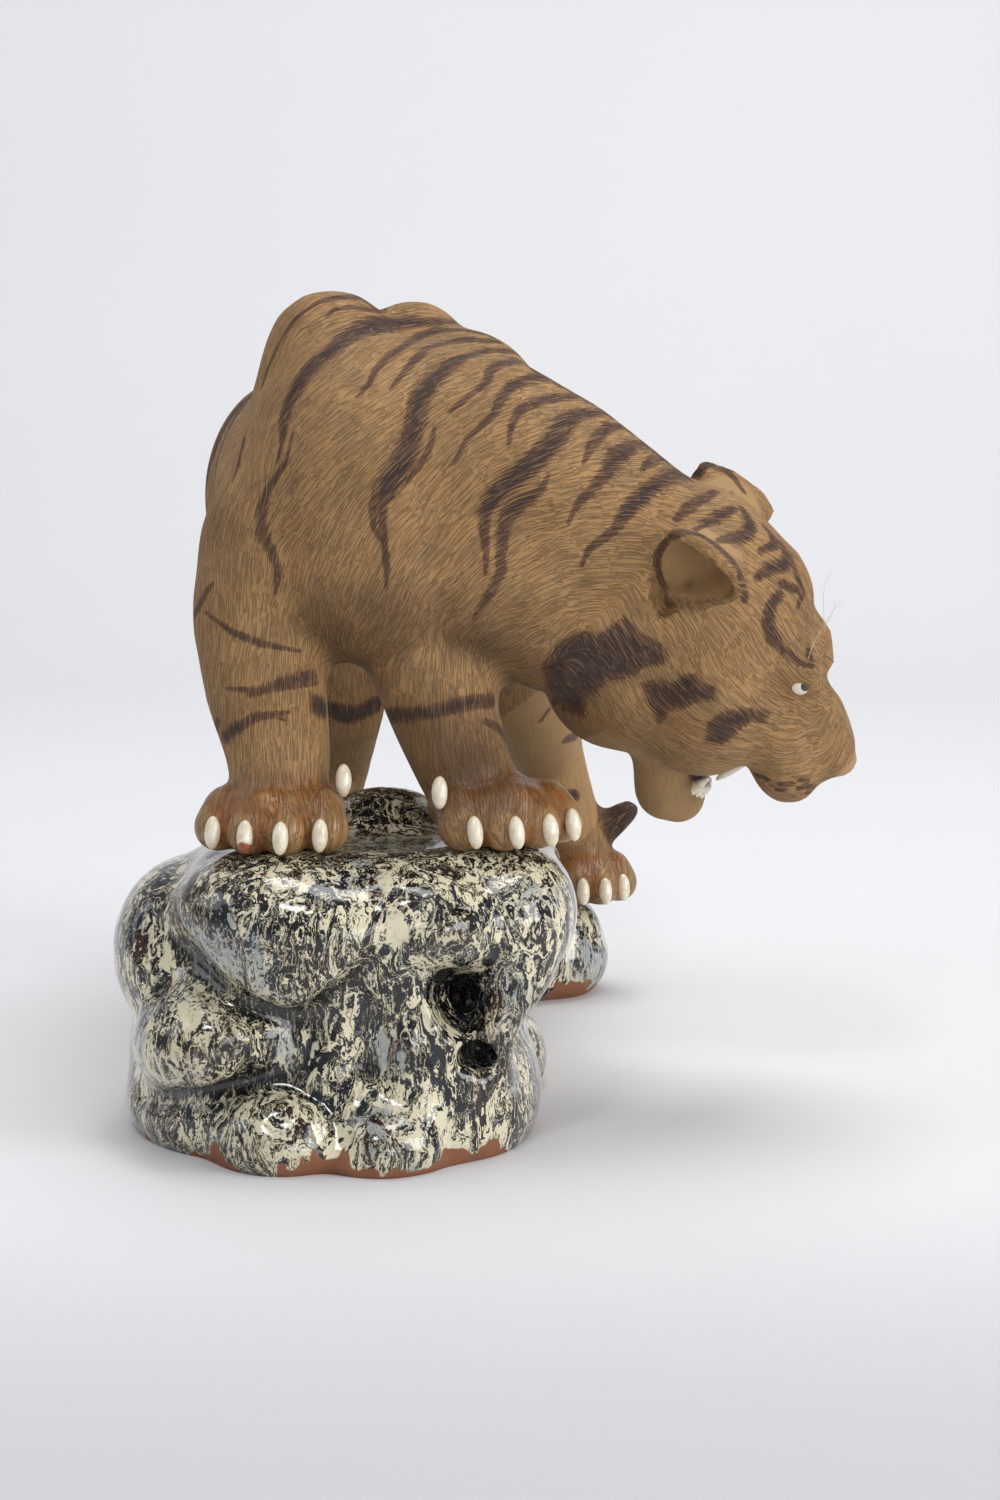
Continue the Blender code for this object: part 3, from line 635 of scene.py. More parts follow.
FOCUS = CAMERA_LENS / SENSOR * PICTURE[1]
TILT = math.radians(CAMERA_TILT)
VIEW_WAY = Vector((0, math.cos(TILT), -math.sin(TILT)))
VIEW_UP = Vector((0, math.sin(TILT), math.cos(TILT)))
VIEW_SIDE = Vector((1, 0, 0))

# Stripes seen in the picture: each point is across, down and the stripe's width
NEAR_STRIPES = (
    ((262, 387, 2), (267, 370, 2.5), (275, 352, 3), (282, 338, 3), (292, 323, 3.5), (304, 311, 4),
     (319, 302, 5), (339, 297, 7),
     (359, 297, 7), (374, 300, 6), (386, 305, 5)),
    ((326, 317, 1.5), (334, 310, 2.5), (349, 307, 3.5), (369, 310, 4.5), (384, 312, 3)),
    ((455, 322, 6), (424, 321, 12), (399, 322, 18), (379, 325, 22), (359, 332, 23), (339, 344, 22),
     (319, 360, 21),
     (302, 378, 20), (290, 399, 15), (284, 420, 12), (283, 436, 8), (281, 449, 3), (277, 463, 1)),
    ((293, 432, 1), (287, 459, 2.5), (275, 479, 6), (266, 494, 9), (260, 514, 10), (262, 534, 11),
     (271, 551, 9),
     (277, 566, 6), (277, 580, 4), (275, 594, 1)),
    ((492, 335, 6), (464, 330, 10), (439, 330, 11), (419, 336, 11), (407, 344, 8), (392, 354, 6),
     (375, 370, 5),
     (369, 384, 3.5), (357, 397, 1)),
    ((500, 342, 6), (474, 339, 10), (449, 342, 8), (427, 348, 7), (414, 361, 7), (404, 373, 5),
     (390, 389, 1)),
    ((518, 352, 5), (489, 350, 7), (464, 357, 11), (444, 368, 16), (430, 382, 18), (420, 399, 20),
     (415, 419, 20),
     (411, 439, 19), (404, 459, 22), (393, 475, 26), (386, 489, 20), (382, 503, 12), (382, 520, 6),
     (385, 549, 5),
     (387, 569, 5), (386, 589, 1)),
    ((377, 490, 6), (372, 507, 5), (373, 525, 4), (379, 539, 1)),
    ((435, 427, 1), (431, 444, 4), (419, 467, 4), (406, 481, 3)),
    ((552, 371, 6), (533, 364, 11), (516, 361, 12), (498, 364, 11), (489, 372, 8), (487, 382, 6),
     (476, 391, 5),
     (461, 402, 4), (448, 414, 1)),
    ((576, 386, 6), (560, 379, 10), (537, 377, 12), (511, 386, 10), (501, 399, 8), (494, 414, 6),
     (480, 427, 4),
     (466, 440, 3), (453, 464, 1)),
    ((596, 396, 7), (560, 397, 10), (536, 402, 10), (521, 409, 8), (512, 422, 6), (508, 446, 1)),
    ((613, 411, 8), (582, 413, 14), (564, 422, 18), (556, 438, 20), (537, 459, 21), (512, 479, 21),
     (494, 496, 18),
     (485, 511, 13), (484, 531, 8), (486, 551, 5), (486, 575, 1)),
    ((549, 474, 1), (541, 491, 6), (523, 501, 12), (508, 514, 15), (503, 531, 12), (501, 556, 9),
     (501, 573, 8),
     (491, 591, 8), (479, 611, 5), (474, 620, 1)),
    ((637, 426, 5), (609, 426, 10), (596, 438, 11), (588, 453, 7), (583, 464, 1)),
    ((668, 454, 9), (647, 443, 12), (632, 446, 15), (616, 456, 20), (607, 471, 13), (595, 487, 10),
     (580, 501, 6),
     (572, 514, 3), (568, 524, 1)),
    ((680, 455, 8), (658, 458, 10), (648, 463, 8), (641, 471, 2)),
    ((699, 473, 14), (673, 475, 18), (653, 486, 16), (637, 500, 16), (625, 513, 15), (617, 527, 9),
     (602, 540, 6),
     (589, 549, 5), (581, 567, 1)),
    ((716, 491, 6), (699, 500, 10), (686, 510, 10), (675, 520, 4)),
    ((734, 508, 8), (722, 514, 12), (706, 524, 11), (695, 530, 4)),
    ((742, 508, 8), (751, 523, 13), (748, 535, 14), (734, 538, 13), (718, 541, 5)),
    ((765, 527, 8), (773, 537, 10), (775, 545, 10), (760, 551, 5)),
    ((780, 542, 6), (788, 555, 12), (785, 565, 13), (770, 568, 14), (756, 579, 5)),
    ((790, 557, 4), (798, 578, 8), (803, 593, 8), (797, 608, 3)),
    ((783, 584, 9), (798, 590, 6)),
    ((779, 595, 9), (770, 608, 13), (768, 622, 14), (771, 635, 13), (783, 650, 9), (798, 662, 6),
     (809, 667, 1)),
    ((809, 652, 7), (811, 664, 7)),
    ((250, 694, 6), (280, 684, 10), (312, 677, 14)), ((226, 689, 1), (262, 690, 5), (316, 682, 6)),
    ((220, 741, 12), (236, 728, 10), (256, 717, 8), (290, 712, 1)),
    ((270, 715, 2), (285, 720, 1)),
    ((205, 612, 1), (232, 632, 5), (262, 644, 5), (300, 651, 1)),
    ((195, 614, 8), (205, 594, 6), (213, 583, 2)),
    ((384, 716, 14), (430, 713, 12), (462, 704, 14), (492, 700, 12)),
    ((318, 706, 22), (352, 716, 22), (378, 704, 20)),
    ((226, 385, 6), (218, 420, 6), (213, 452, 5), (208, 480, 2)), ((244, 440, 5), (238, 466, 4),
     (232, 482, 1)),
    ((562, 672, 2), (556, 700, 3), (540, 722, 2)),
    ((755, 774, 4), (767, 779, 5)), ((780, 784, 4), (792, 784, 5)), ((777, 790, 4), (785, 790, 3)),
    ((800, 780, 3), (808, 781, 3)), ((798, 788, 3), (815, 786, 3)), ((806, 793, 3), (818, 790, 2)),
    ((670, 538, 5), (684, 531, 8), (700, 535, 9), (716, 545, 10), (729, 557, 11), (739, 570, 12),
     (744, 584, 10), (745, 600, 5)),
    ((668, 540, 5), (660, 550, 8), (657, 564, 8), (660, 578, 6), (666, 588, 2)),
    ((698, 471, 8), (709, 462, 11), (722, 466, 10), (734, 478, 7), (744, 492, 5)),
)

# Dark patches, partly a thin dark glaze and partly painted shade under the body: across, down, reach in
# millimetres and strength
GLAZE_AND_SHADE_PATCHES = (
    (470, 765, 34, 0.85), (440, 730, 26, 0.6), (330, 620, 22, 0.4), (385, 610, 26, 0.5), (480, 640, 30, 0.35),
    (215, 520, 24, 0.35), (690, 780, 14, 0.3), (225, 730, 18, 0.3),
)

# Outlines of the blotches on the cheek
BLOTCHES = (
    ((544, 664), (561, 642), (584, 631), (597, 636), (617, 624), (627, 619), (640, 634), (658, 642),
     (668, 657),
     (663, 664), (642, 667), (632, 675), (607, 680), (597, 693), (586, 697), (584, 718), (571, 713),
     (548, 693)),
    ((642, 685), (653, 680), (673, 685), (683, 675), (696, 675), (704, 685), (714, 687), (714, 700),
     (699, 700),
     (683, 708), (668, 711), (660, 724), (652, 708)),
    ((706, 741), (709, 723), (722, 713), (742, 708), (757, 710), (770, 710), (767, 721), (750, 721),
     (739, 728),
     (732, 738), (722, 744)),
)

# Stripes of the sides that the picture doesn't show. On each flank: along the body, up, width
FLANK_STRIPES = (
    ((-52, 305, 9), (-56, 280, 11), (-50, 250, 9), (-54, 225, 5), (-50, 205, 1)),
    ((-22, 304, 8), (-24, 282, 9), (-16, 262, 6), (-20, 246, 1)),
    ((4, 304, 9), (6, 276, 11), (0, 246, 10), (6, 220, 6), (2, 200, 1)),
    ((28, 303, 7), (32, 286, 7), (28, 262, 5), (32, 240, 1)),
    ((52, 302, 9), (58, 276, 10), (52, 250, 8), (58, 222, 5), (54, 206, 1)),
    ((76, 300, 8), (84, 276, 9), (80, 252, 8), (88, 228, 6), (84, 204, 4), (92, 186, 1)),
    ((100, 297, 8), (110, 272, 9), (108, 244, 8), (116, 216, 7), (110, 192, 5), (116, 170, 1)),
    ((122, 290, 7), (134, 264, 8), (134, 236, 7), (140, 214, 1)),
    ((50, 190, 3), (72, 186, 7), (96, 178, 6), (108, 168, 1)),
    ((60, 160, 3), (80, 152, 7), (104, 150, 4)),
    ((84, 122, 4), (104, 124, 7), (124, 130, 3)),
    ((104, 92, 5), (124, 94, 6), (136, 96, 3)),
    ((-96, 190, 2), (-88, 176, 6), (-74, 172, 4)),
    ((-130, 160, 2), (-116, 150, 6), (-100, 152, 4)),
)
TAIL_RINGS = (0.12, 0.26, 0.4, 0.53, 0.65, 0.76, 0.86)

# Lie of the fur where the picture shows it: across, down and the hairs' way, clockwise from the right
FUR_LIE = (
    (230, 420, 100), (280, 360, 118), (250, 480, 105), (340, 420, 140), (300, 500, 125), (420, 480, 133),
    (350, 560, 118), (300, 600, 97), (240, 590, 92), (400, 620, 118), (450, 560, 132), (520, 560, 150),
    (470, 620, 138), (330, 310, 160), (390, 345, 158), (450, 330, 172), (500, 350, 180), (470, 400, 150),
    (540, 420, 160), (600, 420, 172), (560, 500, 165), (620, 480, 178), (600, 560, 176), (540, 620, 160),
    (580, 610, 172), (650, 450, 182), (700, 500, 190), (660, 540, 184), (740, 560, 200), (770, 570, 215),
    (800, 620, 240), (815, 640, 240), (780, 640, 238), (735, 620, 228), (700, 618, 235), (640, 618, 240),
    (600, 640, 236), (565, 628, 135), (545, 655, 125), (535, 640, 150), (640, 660, 240), (600, 690, 232),
    (570, 690, 228), (560, 675, 222), (700, 650, 244), (740, 650, 242), (700, 700, 222), (740, 700, 225),
    (770, 690, 222), (640, 740, 208), (700, 740, 203), (760, 740, 192), (790, 755, 170), (810, 740, 160),
    (830, 720, 120), (842, 740, 110), (845, 715, 250), (820, 700, 215), (800, 705, 205), (650, 780, 95),
    (240, 700, 93), (280, 760, 87), (230, 650, 98), (300, 680, 90), (250, 760, 90), (430, 700, 88),
    (470, 760, 80),
    (400, 690, 92), (450, 660, 90), (520, 700, 88), (530, 760, 86), (330, 700, 90),
    (215, 820, 90), (260, 815, 90), (320, 820, 90), (520, 810, 88), (470, 815, 75), (570, 820, 92),
    (600, 860, 90),
)

# Lie of the fur on the sides that it doesn't show: a place and a way
FUR_BEYOND = (
    ((-45, -60, 320), (0, 1, 0)), ((-47, 0, 305), (0, 1, 0)), ((-49, 60, 302), (0, 1, 0)),
    ((-51, 120, 290), (0, 1, -0.4)),
    ((-51, 150, 262), (0, 0.3, -1)),
    ((-108, -60, 250), (0, 1, -0.5)), ((-106, 0, 250), (0, 1, -0.3)), ((-104, 50, 240), (0, 1, -0.5)),
    ((-108, -60, 210), (0, 1, -0.6)), ((-104, 0, 205), (0, 1, -0.3)), ((-90, 50, 190), (0, 1, -0.7)),
    ((20, -30, 250), (0, 1, -0.3)), ((12, 0, 250), (0, 1, -0.3)), ((4, 50, 240), (0, 1, -0.5)),
    ((16, -20, 205), (0, 1, -0.3)), ((10, 20, 200), (0, 1, -0.3)), ((0, 50, 190), (0, 1, -0.7)),
    ((-45, -20, 180), (0, 1, 0)), ((-47, 30, 185), (0, 1, 0)),
    ((-130, 100, 240), (0, 0.6, -0.8)), ((-128, 90, 195), (0, 0.3, -1)), ((26, 100, 240), (0, 0.6, -0.8)),
    ((28, 90, 195), (0, 0.3, -1)), ((-51, 160, 200), (0, 0, -1)), ((-100, 60, 170), (0, 0.1, -1)),
    ((-100, 100, 140), (0, 0.5, -1)), ((0, 60, 170), (0, 0.1, -1)), ((20, 100, 140), (0, 0.5, -1)),
    ((-80, 130, 100), (0, -0.1, -1)), ((44, 130, 100), (0, -0.1, -1)), ((-80, 115, 70), (0, -0.3, -1)),
    ((44, 115, 70), (0, -0.3, -1)), ((-80, 75, 50), (0, -1, -0.3)), ((48, 75, 50), (0, -1, -0.3)),
    ((-108, -110, 220), (0, 0.3, -1)), ((-110, -120, 170), (0, 0, -1)), ((-84, -150, 130), (0, -0.6, -1)),
    ((-62, -110, 160), (0, 0, -1)), ((10, -110, 160), (0, 0, -1)), ((20, -80, 200), (-0.4, 0.6, -1)),
    ((40, -60, 240), (-1, 0.3, 0.1)), ((60, -40, 220), (-1, 0, 0.3)), ((80, -50, 170), (-0.6, -0.1, 0.9)),
    ((40, -60, 180), (-1, 0.2, 0.2)), ((110, -50, 170), (-0.66, -0.1, 0.75)),
    ((130, -80, 140), (-0.66, -0.1, 0.75)),
    ((90, -40, 230), (-0.9, 0, 0.5)), ((120, -60, 200), (-0.66, -0.1, 0.75)),
)


def picture_ray(across, down):
    return (VIEW_WAY + VIEW_SIDE * ((across - PICTURE[0] / 2) / FOCUS)
            + VIEW_UP * ((PICTURE[1] / 2 - down) / FOCUS)).normalized()


def in_picture(points):
    """Where points of the design fall in the picture."""
    gap = points - np.array(CAMERA_AT)
    depth = gap @ np.array(VIEW_WAY)
    across = PICTURE[0] / 2 + FOCUS * (gap @ np.array(VIEW_SIDE)) / depth
    down = PICTURE[1] / 2 - FOCUS * (gap @ np.array(VIEW_UP)) / depth
    return across, down, depth


def cast_from_picture(tree, across, down):
    """The place on the clay under a point of the picture, or just inside its outline."""
    for nudge in range(0, 30, 2):
        hit = tree.ray_cast(CAMERA_AT, picture_ray(across - nudge * 0.4, down + nudge))[0]
        if hit is not None:
            return hit
    return None


def finer(points, step):
    """More points along a line, so that it follows the clay."""
    made = []
    for near, far in zip(points, points[1:]):
        near, far = np.array(near, float), np.array(far, float)
        parts = max(1, int(np.linalg.norm((far - near)[:2]) / step))
        for part in range(parts):
            made.append(near + (far - near) * part / parts)
    made.append(np.array(points[-1], float))
    return made


def picture_stroke(tree, points):
    line = []
    for across, down, width in finer(points, 5.0):
        hit = cast_from_picture(tree, across, down)
        if hit is not None:
            line.append((*hit, width / 2 * (hit - CAMERA_AT).length / FOCUS))
    return line


def side_stroke(tree, points, side):
    line = []
    for along, up, width in finer(points, 3.0):
        hit = tree.ray_cast(Vector((-45 + 85 * side, along, up)), Vector((-side, 0, 0)))[0]
        if hit is not None:
            line.append((*hit, width / 2))
    return line


def stripe_distance(places, strokes):
    """How far each place is outside the nearest stroke, negative inside, and half that stroke's width."""
    gap = np.full(len(places), 30.0)
    half = np.full(len(places), 3.0)
    for line in strokes:
        for near, far in zip(line, line[1:]):
            a, b = np.array(near[:3]), np.array(far[:3])
            if np.linalg.norm(b - a) > 25:
                continue
            reach = 14 + max(near[3], far[3])
            low, high = np.minimum(a, b) - reach, np.maximum(a, b) + reach
            close = np.flatnonzero(np.all((places > low) & (places < high), axis=1))
            if not len(close):
                continue
            way = b - a
            share = np.clip(((places[close] - a) @ way) / max(way @ way, 1e-9), 0, 1)
            width = near[3] + (far[3] - near[3]) * share
            off = np.linalg.norm(places[close] - a - share[:, None] * way, axis=1) - width
            nearer = off < gap[close]
            gap[close[nearer]] = off[nearer]
            half[close[nearer]] = width[nearer]
    return gap, half


def blotch_distance(tree, places, normals, outline):
    across, down, depth = in_picture(places)
    middle = np.mean(outline, axis=0)
    hit = cast_from_picture(tree, *middle)
    seen = (np.abs(depth - (hit - CAMERA_AT).dot(VIEW_WAY)) < 40) & (normals @ np.array(VIEW_WAY) < 0.1)
    inside = np.zeros(len(places), bool)
    gap = np.full(len(places), 1e9)
    for near, far in zip(outline, outline[1:] + outline[:1]):
        (ax, ay), (bx, by) = near, far
        onward = (across - ax) * (bx - ax) + (down - ay) * (by - ay)
        share = np.clip(onward / ((bx - ax) ** 2 + (by - ay) ** 2), 0, 1)
        gap = np.minimum(gap, np.hypot(across - ax - share * (bx - ax), down - ay - share * (by - ay)))
        crossed = (ay > down) != (by > down)
        inside ^= crossed & (across < (bx - ax) * (down - ay) / (by - ay + 1e-12) + ax)
    gap = np.where(inside, -gap, gap) * depth / FOCUS
    return np.where(seen, gap, 30.0)


def tail_rings():
    """Rings round the tail, and its dark tip."""
    places = [HIP + Vector(stop[:3]) for stop in TAIL_ROUTE]
    strokes = []
    for share in TAIL_RINGS:
        stop = share * (len(places) - 1)
        middle = places[int(stop)].lerp(places[int(stop) + 1], stop % 1)
        strokes.append([(*middle, 12.5), (*(middle + Vector((0, 0, 1))), 12.5)])
    strokes.append([(*places[-2], 11.0), (*places[-1], 13.0)])
    return strokes


def fur_ways(tree, places, normals):
    """The way that the hairs lie at each place, along the skin."""
    spots, ways = [], []
    for across, down, angle in FUR_LIE:
        angle = math.radians(angle)
        here = cast_from_picture(tree, across, down)
        there = cast_from_picture(tree, across + 7 * math.cos(angle), down + 7 * math.sin(angle))
        if here is not None and there is not None and (there - here).length < 30:
            spots.append(here)
            ways.append((there - here).normalized())
    for spot, way in FUR_BEYOND:
        spots.append(Vector(spot))
        ways.append(Vector(way).normalized())
    stops = [HIP + Vector(stop[:3]) for stop in TAIL_ROUTE]
    for near, far in zip(stops[1:], stops[2:]):
        spots.append(near)
        ways.append((far - near).normalized())
    total = np.zeros_like(places)
    for spot, way in zip(spots, ways):
        weight = 1 / (np.sum((places - np.array(spot)) ** 2, axis=1) + 16) ** 2.5
        total += weight[:, None] * np.array(way)
    total -= normals * np.sum(total * normals, axis=1)[:, None]
    return total / np.maximum(np.linalg.norm(total, axis=1), 1e-30)[:, None]


def step_down(value, full, none):
    """1 up to full, then falling to 0 at none."""
    share = np.clip((none - value) / (none - full), 0, 1)
    return share * share * (3 - 2 * share)


def local(places, frame):
    turn = np.array(frame.inverted())
    return places @ turn[:3, :3].T + turn[:3, 3]


def dips(mesh, places, normals, passes):
    """How far each point lies below the clay around it, in millimetres; less than nothing on a ridge."""
    edges = np.empty(len(mesh.edges) * 2, np.int32)
    mesh.edges.foreach_get("vertices", edges)
    near, far = edges.reshape(-1, 2).T
    ties = np.maximum(np.bincount(near, minlength=len(places)) + np.bincount(far, minlength=len(places)), 1)
    smooth = places.copy()
    for _ in range(passes):
        total = np.zeros_like(smooth)
        for axis in range(3):
            total[:, axis] = (np.bincount(near, smooth[far, axis], len(places))
                              + np.bincount(far, smooth[near, axis], len(places)))
        smooth = smooth * 0.3 + total / ties[:, None] * 0.7
    return np.sum((smooth - places) * normals, axis=1)


def points_of(mesh):
    """The points of a mesh and the ways that the skin faces there."""
    made = []
    for source, name in ((mesh.vertices, "co"), (mesh.vertex_normals, "vector")):
        values = np.empty(len(mesh.vertices) * 3)
        source.foreach_get(name, values)
        made.append(values.reshape(-1, 3))
    return made


def keep_values(mesh, named):
    for name, values in named:
        mesh.attributes.new(name, "FLOAT", "POINT").data.foreach_set("value", values.astype(np.float32))


def share_of(places, centre, radii):
    """How far places are from a centre, as a share of the radii."""
    return np.linalg.norm((places - np.array(centre)) / np.array(radii), axis=1)


def paint_skin(mesh):
    """Stores what the skin's material reads at each point of the clay."""
    count = len(mesh.vertices)
    places, normals = points_of(mesh)
    tree = tree_of(mesh)
    strokes = [picture_stroke(tree, points) for points in NEAR_STRIPES]
    for side in (-1, 1):
        strokes += [side_stroke(tree, points, side) for points in FLANK_STRIPES]
    strokes += tail_rings()
    stripe, half = stripe_distance(places, strokes)
    for outline in BLOTCHES:
        blotch = blotch_distance(tree, places, normals, outline)
        half = np.where(blotch < stripe, 2.4, half)
        stripe = np.minimum(stripe, blotch)
    fray = np.clip(half / 3.2, 0.12, 1.0)
    paw = np.zeros(count)
    for frame_, width, height in all_paws():
        spot = local(places, frame_)
        reach = np.sqrt((spot[:, 0] / (width * 0.68)) ** 2 + ((spot[:, 1] - 14) / 36) ** 2
                        + ((spot[:, 2] - height * 0.4) / (height * 0.95)) ** 2)
        paw = np.maximum(paw, step_down(reach, 0.78, 1.12))
    bare = np.zeros(count)
    for side in (-1, 1):
        spot = local(places, ear_frame(side))
        reach = np.sqrt((spot[:, 0] / (EAR_LENGTH / 2 - EAR_WALL)) ** 2
                        + ((spot[:, 1] - 2) / (EAR_HEIGHT / 2 - EAR_WALL)) ** 2)
        deep = (spot[:, 2] < 0.2) * (spot[:, 2] > -EAR_DEPTH - 2)
        bare = np.maximum(bare, step_down(reach, 0.95, 1.08) * deep)
    head = local(places, head_frame())
    jaw = step_down(head[:, 2], -62, -54) * (head[:, 0] > 0) * (head[:, 0] < 75)
    nose = step_down(share_of(head, (79, 0, -13), (8, 10, 8)), 0.85, 1.05)
    bare = np.maximum(bare, np.maximum(jaw * 0.75, nose))
    mouth = step_down(share_of(head, (34, 0, -56), (28, 15, 12)), 0.8, 1.1)
    # Painted shade: darker where the skin faces down, much less towards the head
    under = 1 - step_down(-normals[:, 2], 0.2, 0.95)
    under *= 1 - 0.8 * (1 - step_down(places[:, 0], 40, 70))
    # Dark patches, partly a thin dark glaze and partly painted shade under the body
    glaze_and_shade = np.zeros(count)
    for across, down, reach, strength in GLAZE_AND_SHADE_PATCHES:
        middle = cast_from_picture(tree, across, down)
        gap = np.linalg.norm(places - np.array(middle), axis=1)
        glaze_and_shade = np.maximum(glaze_and_shade, strength * step_down(gap, 0.0, reach))
    keep_values(mesh, (
        ("stripe", stripe), ("fray", fray), ("paw", paw), ("bare", bare), ("mouth", mouth), ("nose", nose),
        ("under", under), ("glaze_and_shade", glaze_and_shade), ("dip", dips(mesh, places, normals, FUR_DIPS))))
    for name, ways in (("fur", fur_ways(tree, places, normals)), ("sheen", normals)):
        kept = mesh.attributes.new(name, "FLOAT_VECTOR", "POINT")
        kept.data.foreach_set("vector", ways.astype(np.float32).ravel())
    return tree


# Materials

# Combed hairs: how far apart and how long
HAIR_SPACING = 0.40
HAIR_LENGTH = 12.0


def tone(text):
    """A colour written as it looks on screen, as six hexadecimal digits."""
    made = []
    for start in (0, 2, 4):
        value = int(text[start:start + 2], 16) / 255
        made.append(value / 12.92 if value <= 0.04045 else ((value + 0.055) / 1.055) ** 2.4)
    return (*made, 1.0)


class Recipe:
    """A material that is built up node by node."""

    def __init__(self, name):
        self.material = bpy.data.materials.new(name)
        self.material.use_nodes = True
        self.tree = self.material.node_tree
        self.tree.nodes.clear()
        self.shader = self.node("ShaderNodeBsdfPrincipled")
        output = self.node("ShaderNodeOutputMaterial")
        self.tree.links.new(self.shader.outputs[0], output.inputs["Surface"])

    def node(self, kind, **settings):
        made = self.tree.nodes.new(kind)
        for name, value in settings.items():
            setattr(made, name, value)
        return made

    def feed(self, socket, value):
        if isinstance(value, bpy.types.NodeSocket):
            self.tree.links.new(value, socket)
        elif value is not None:
            socket.default_value = value

    def math(self, operation, *values, clamp=False):
        made = self.node("ShaderNodeMath", operation=operation, use_clamp=clamp)
        for socket, value in zip(made.inputs, values):
            self.feed(socket, value)
        return made.outputs[0]

    def vector(self, operation, *values):
        made = self.node("ShaderNodeVectorMath", operation=operation)
        for socket, value in zip(made.inputs, values):
            self.feed(socket, value)
        return made.outputs["Value"] if operation in ("DOT_PRODUCT", "LENGTH") else made.outputs["Vector"]

    def scaled(self, value, factor):
        made = self.node("ShaderNodeVectorMath", operation="SCALE")
        self.feed(made.inputs[0], value)
        made.inputs["Scale"].default_value = factor
        return made.outputs["Vector"]

    def swing(self, value, reach, middle=0.5):
        """How far a value is from its middle, times reach."""
        return self.math("MULTIPLY", self.math("SUBTRACT", value, middle), reach)

    def drift(self, vector, scale, reach):
        """A way that wanders from place to place."""
        cloud = self.noise(vector, scale, colour=True)
        return self.scaled(self.vector("SUBTRACT", cloud, (0.5, 0.5, 0.5)), reach)

    def combine(self, x, y, z):
        made = self.node("ShaderNodeCombineXYZ")
        for socket, value in zip(made.inputs, (x, y, z)):
            self.feed(socket, value)
        return made.outputs[0]

    def place(self):
        """The place on the object, in millimetres."""
        return self.scaled(self.node("ShaderNodeTexCoord").outputs["Object"], 1000.0)

    def stored(self, name, kind="Fac"):
        return self.node("ShaderNodeAttribute", attribute_name=name).outputs[kind]

    def noise(self, vector, scale, detail=2.0, roughness=0.5, distortion=0.0, colour=False):
        made = self.node("ShaderNodeTexNoise")
        self.feed(made.inputs["Vector"], vector)
        made.inputs["Scale"].default_value = scale
        made.inputs["Detail"].default_value = detail
        made.inputs["Roughness"].default_value = roughness
        made.inputs["Distortion"].default_value = distortion
        return made.outputs["Color" if colour else "Fac"]

    def ramp(self, value, low, high, low_to=0.0, high_to=1.0, smooth=True):
        made = self.node("ShaderNodeMapRange", interpolation_type="SMOOTHSTEP" if smooth else "LINEAR")
        self.feed(made.inputs["Value"], value)
        for name, number in (("From Min", low), ("From Max", high), ("To Min", low_to), ("To Max", high_to)):
            made.inputs[name].default_value = number
        return made.outputs["Result"]

    def mix(self, share, first, second):
        made = self.node("ShaderNodeMix", data_type="RGBA")
        self.feed(made.inputs["Factor"], share)
        colours = [socket for socket in made.inputs if socket.type == "RGBA"]
        self.feed(colours[0], first)
        self.feed(colours[1], second)
        return [socket for socket in made.outputs if socket.type == "RGBA"][0]

    def blend(self, share, first, second):
        made = self.node("ShaderNodeMix", data_type="FLOAT")
        floats = [socket for socket in made.inputs if socket.type == "VALUE"]
        self.feed(floats[0], share)
        self.feed(floats[1], first)
        self.feed(floats[2], second)
        return [socket for socket in made.outputs if socket.type == "VALUE"][0]

    def bump(self, height, distance, strength=1.0):
        made = self.node("ShaderNodeBump")
        made.inputs["Distance"].default_value = distance
        made.inputs["Strength"].default_value = strength
        self.feed(made.inputs["Height"], height)
        self.tree.links.new(made.outputs[0], self.shader.inputs["Normal"])

    def set(self, **inputs):
        for name, value in inputs.items():
            self.feed(self.shader.inputs[name.replace("_", " ")], value)


def strokes(recipe, place, along, across, patch, spacing, length, offset):
    """Combed strokes in patches: their height, their raggedness and how deep inside its patch a point is."""
    spot = recipe.vector("ADD", recipe.scaled(place, 1 / patch), (offset, offset * 0.37, offset * 1.7))
    cell = recipe.node("ShaderNodeTexVoronoi", feature="F1")
    cell.inputs["Scale"].default_value = 1.0
    recipe.feed(cell.inputs["Vector"], spot)
    edge = recipe.node("ShaderNodeTexVoronoi", feature="DISTANCE_TO_EDGE")
    edge.inputs["Scale"].default_value = 1.0
    recipe.feed(edge.inputs["Vector"], spot)
    off = recipe.scaled(recipe.vector("SUBTRACT", spot, cell.outputs["Position"]), patch)
    aside = recipe.vector("DOT_PRODUCT", off, across)
    onward = recipe.vector("DOT_PRODUCT", off, along)
    chance = recipe.math("MULTIPLY", cell.outputs["Color"], 60.0)
    aside_at = recipe.math("ADD", recipe.math("DIVIDE", aside, spacing), chance)
    hair = recipe.combine(aside_at, recipe.math("DIVIDE", onward, length), chance)
    tuft = recipe.combine(aside_at, recipe.math("DIVIDE", onward, length * 6), 3.0)
    comb = recipe.noise(hair, 1.0, 1.0, 0.5)
    teeth = recipe.noise(tuft, 1.0, 1.0, 0.5)
    return comb, teeth, edge.outputs["Distance"]


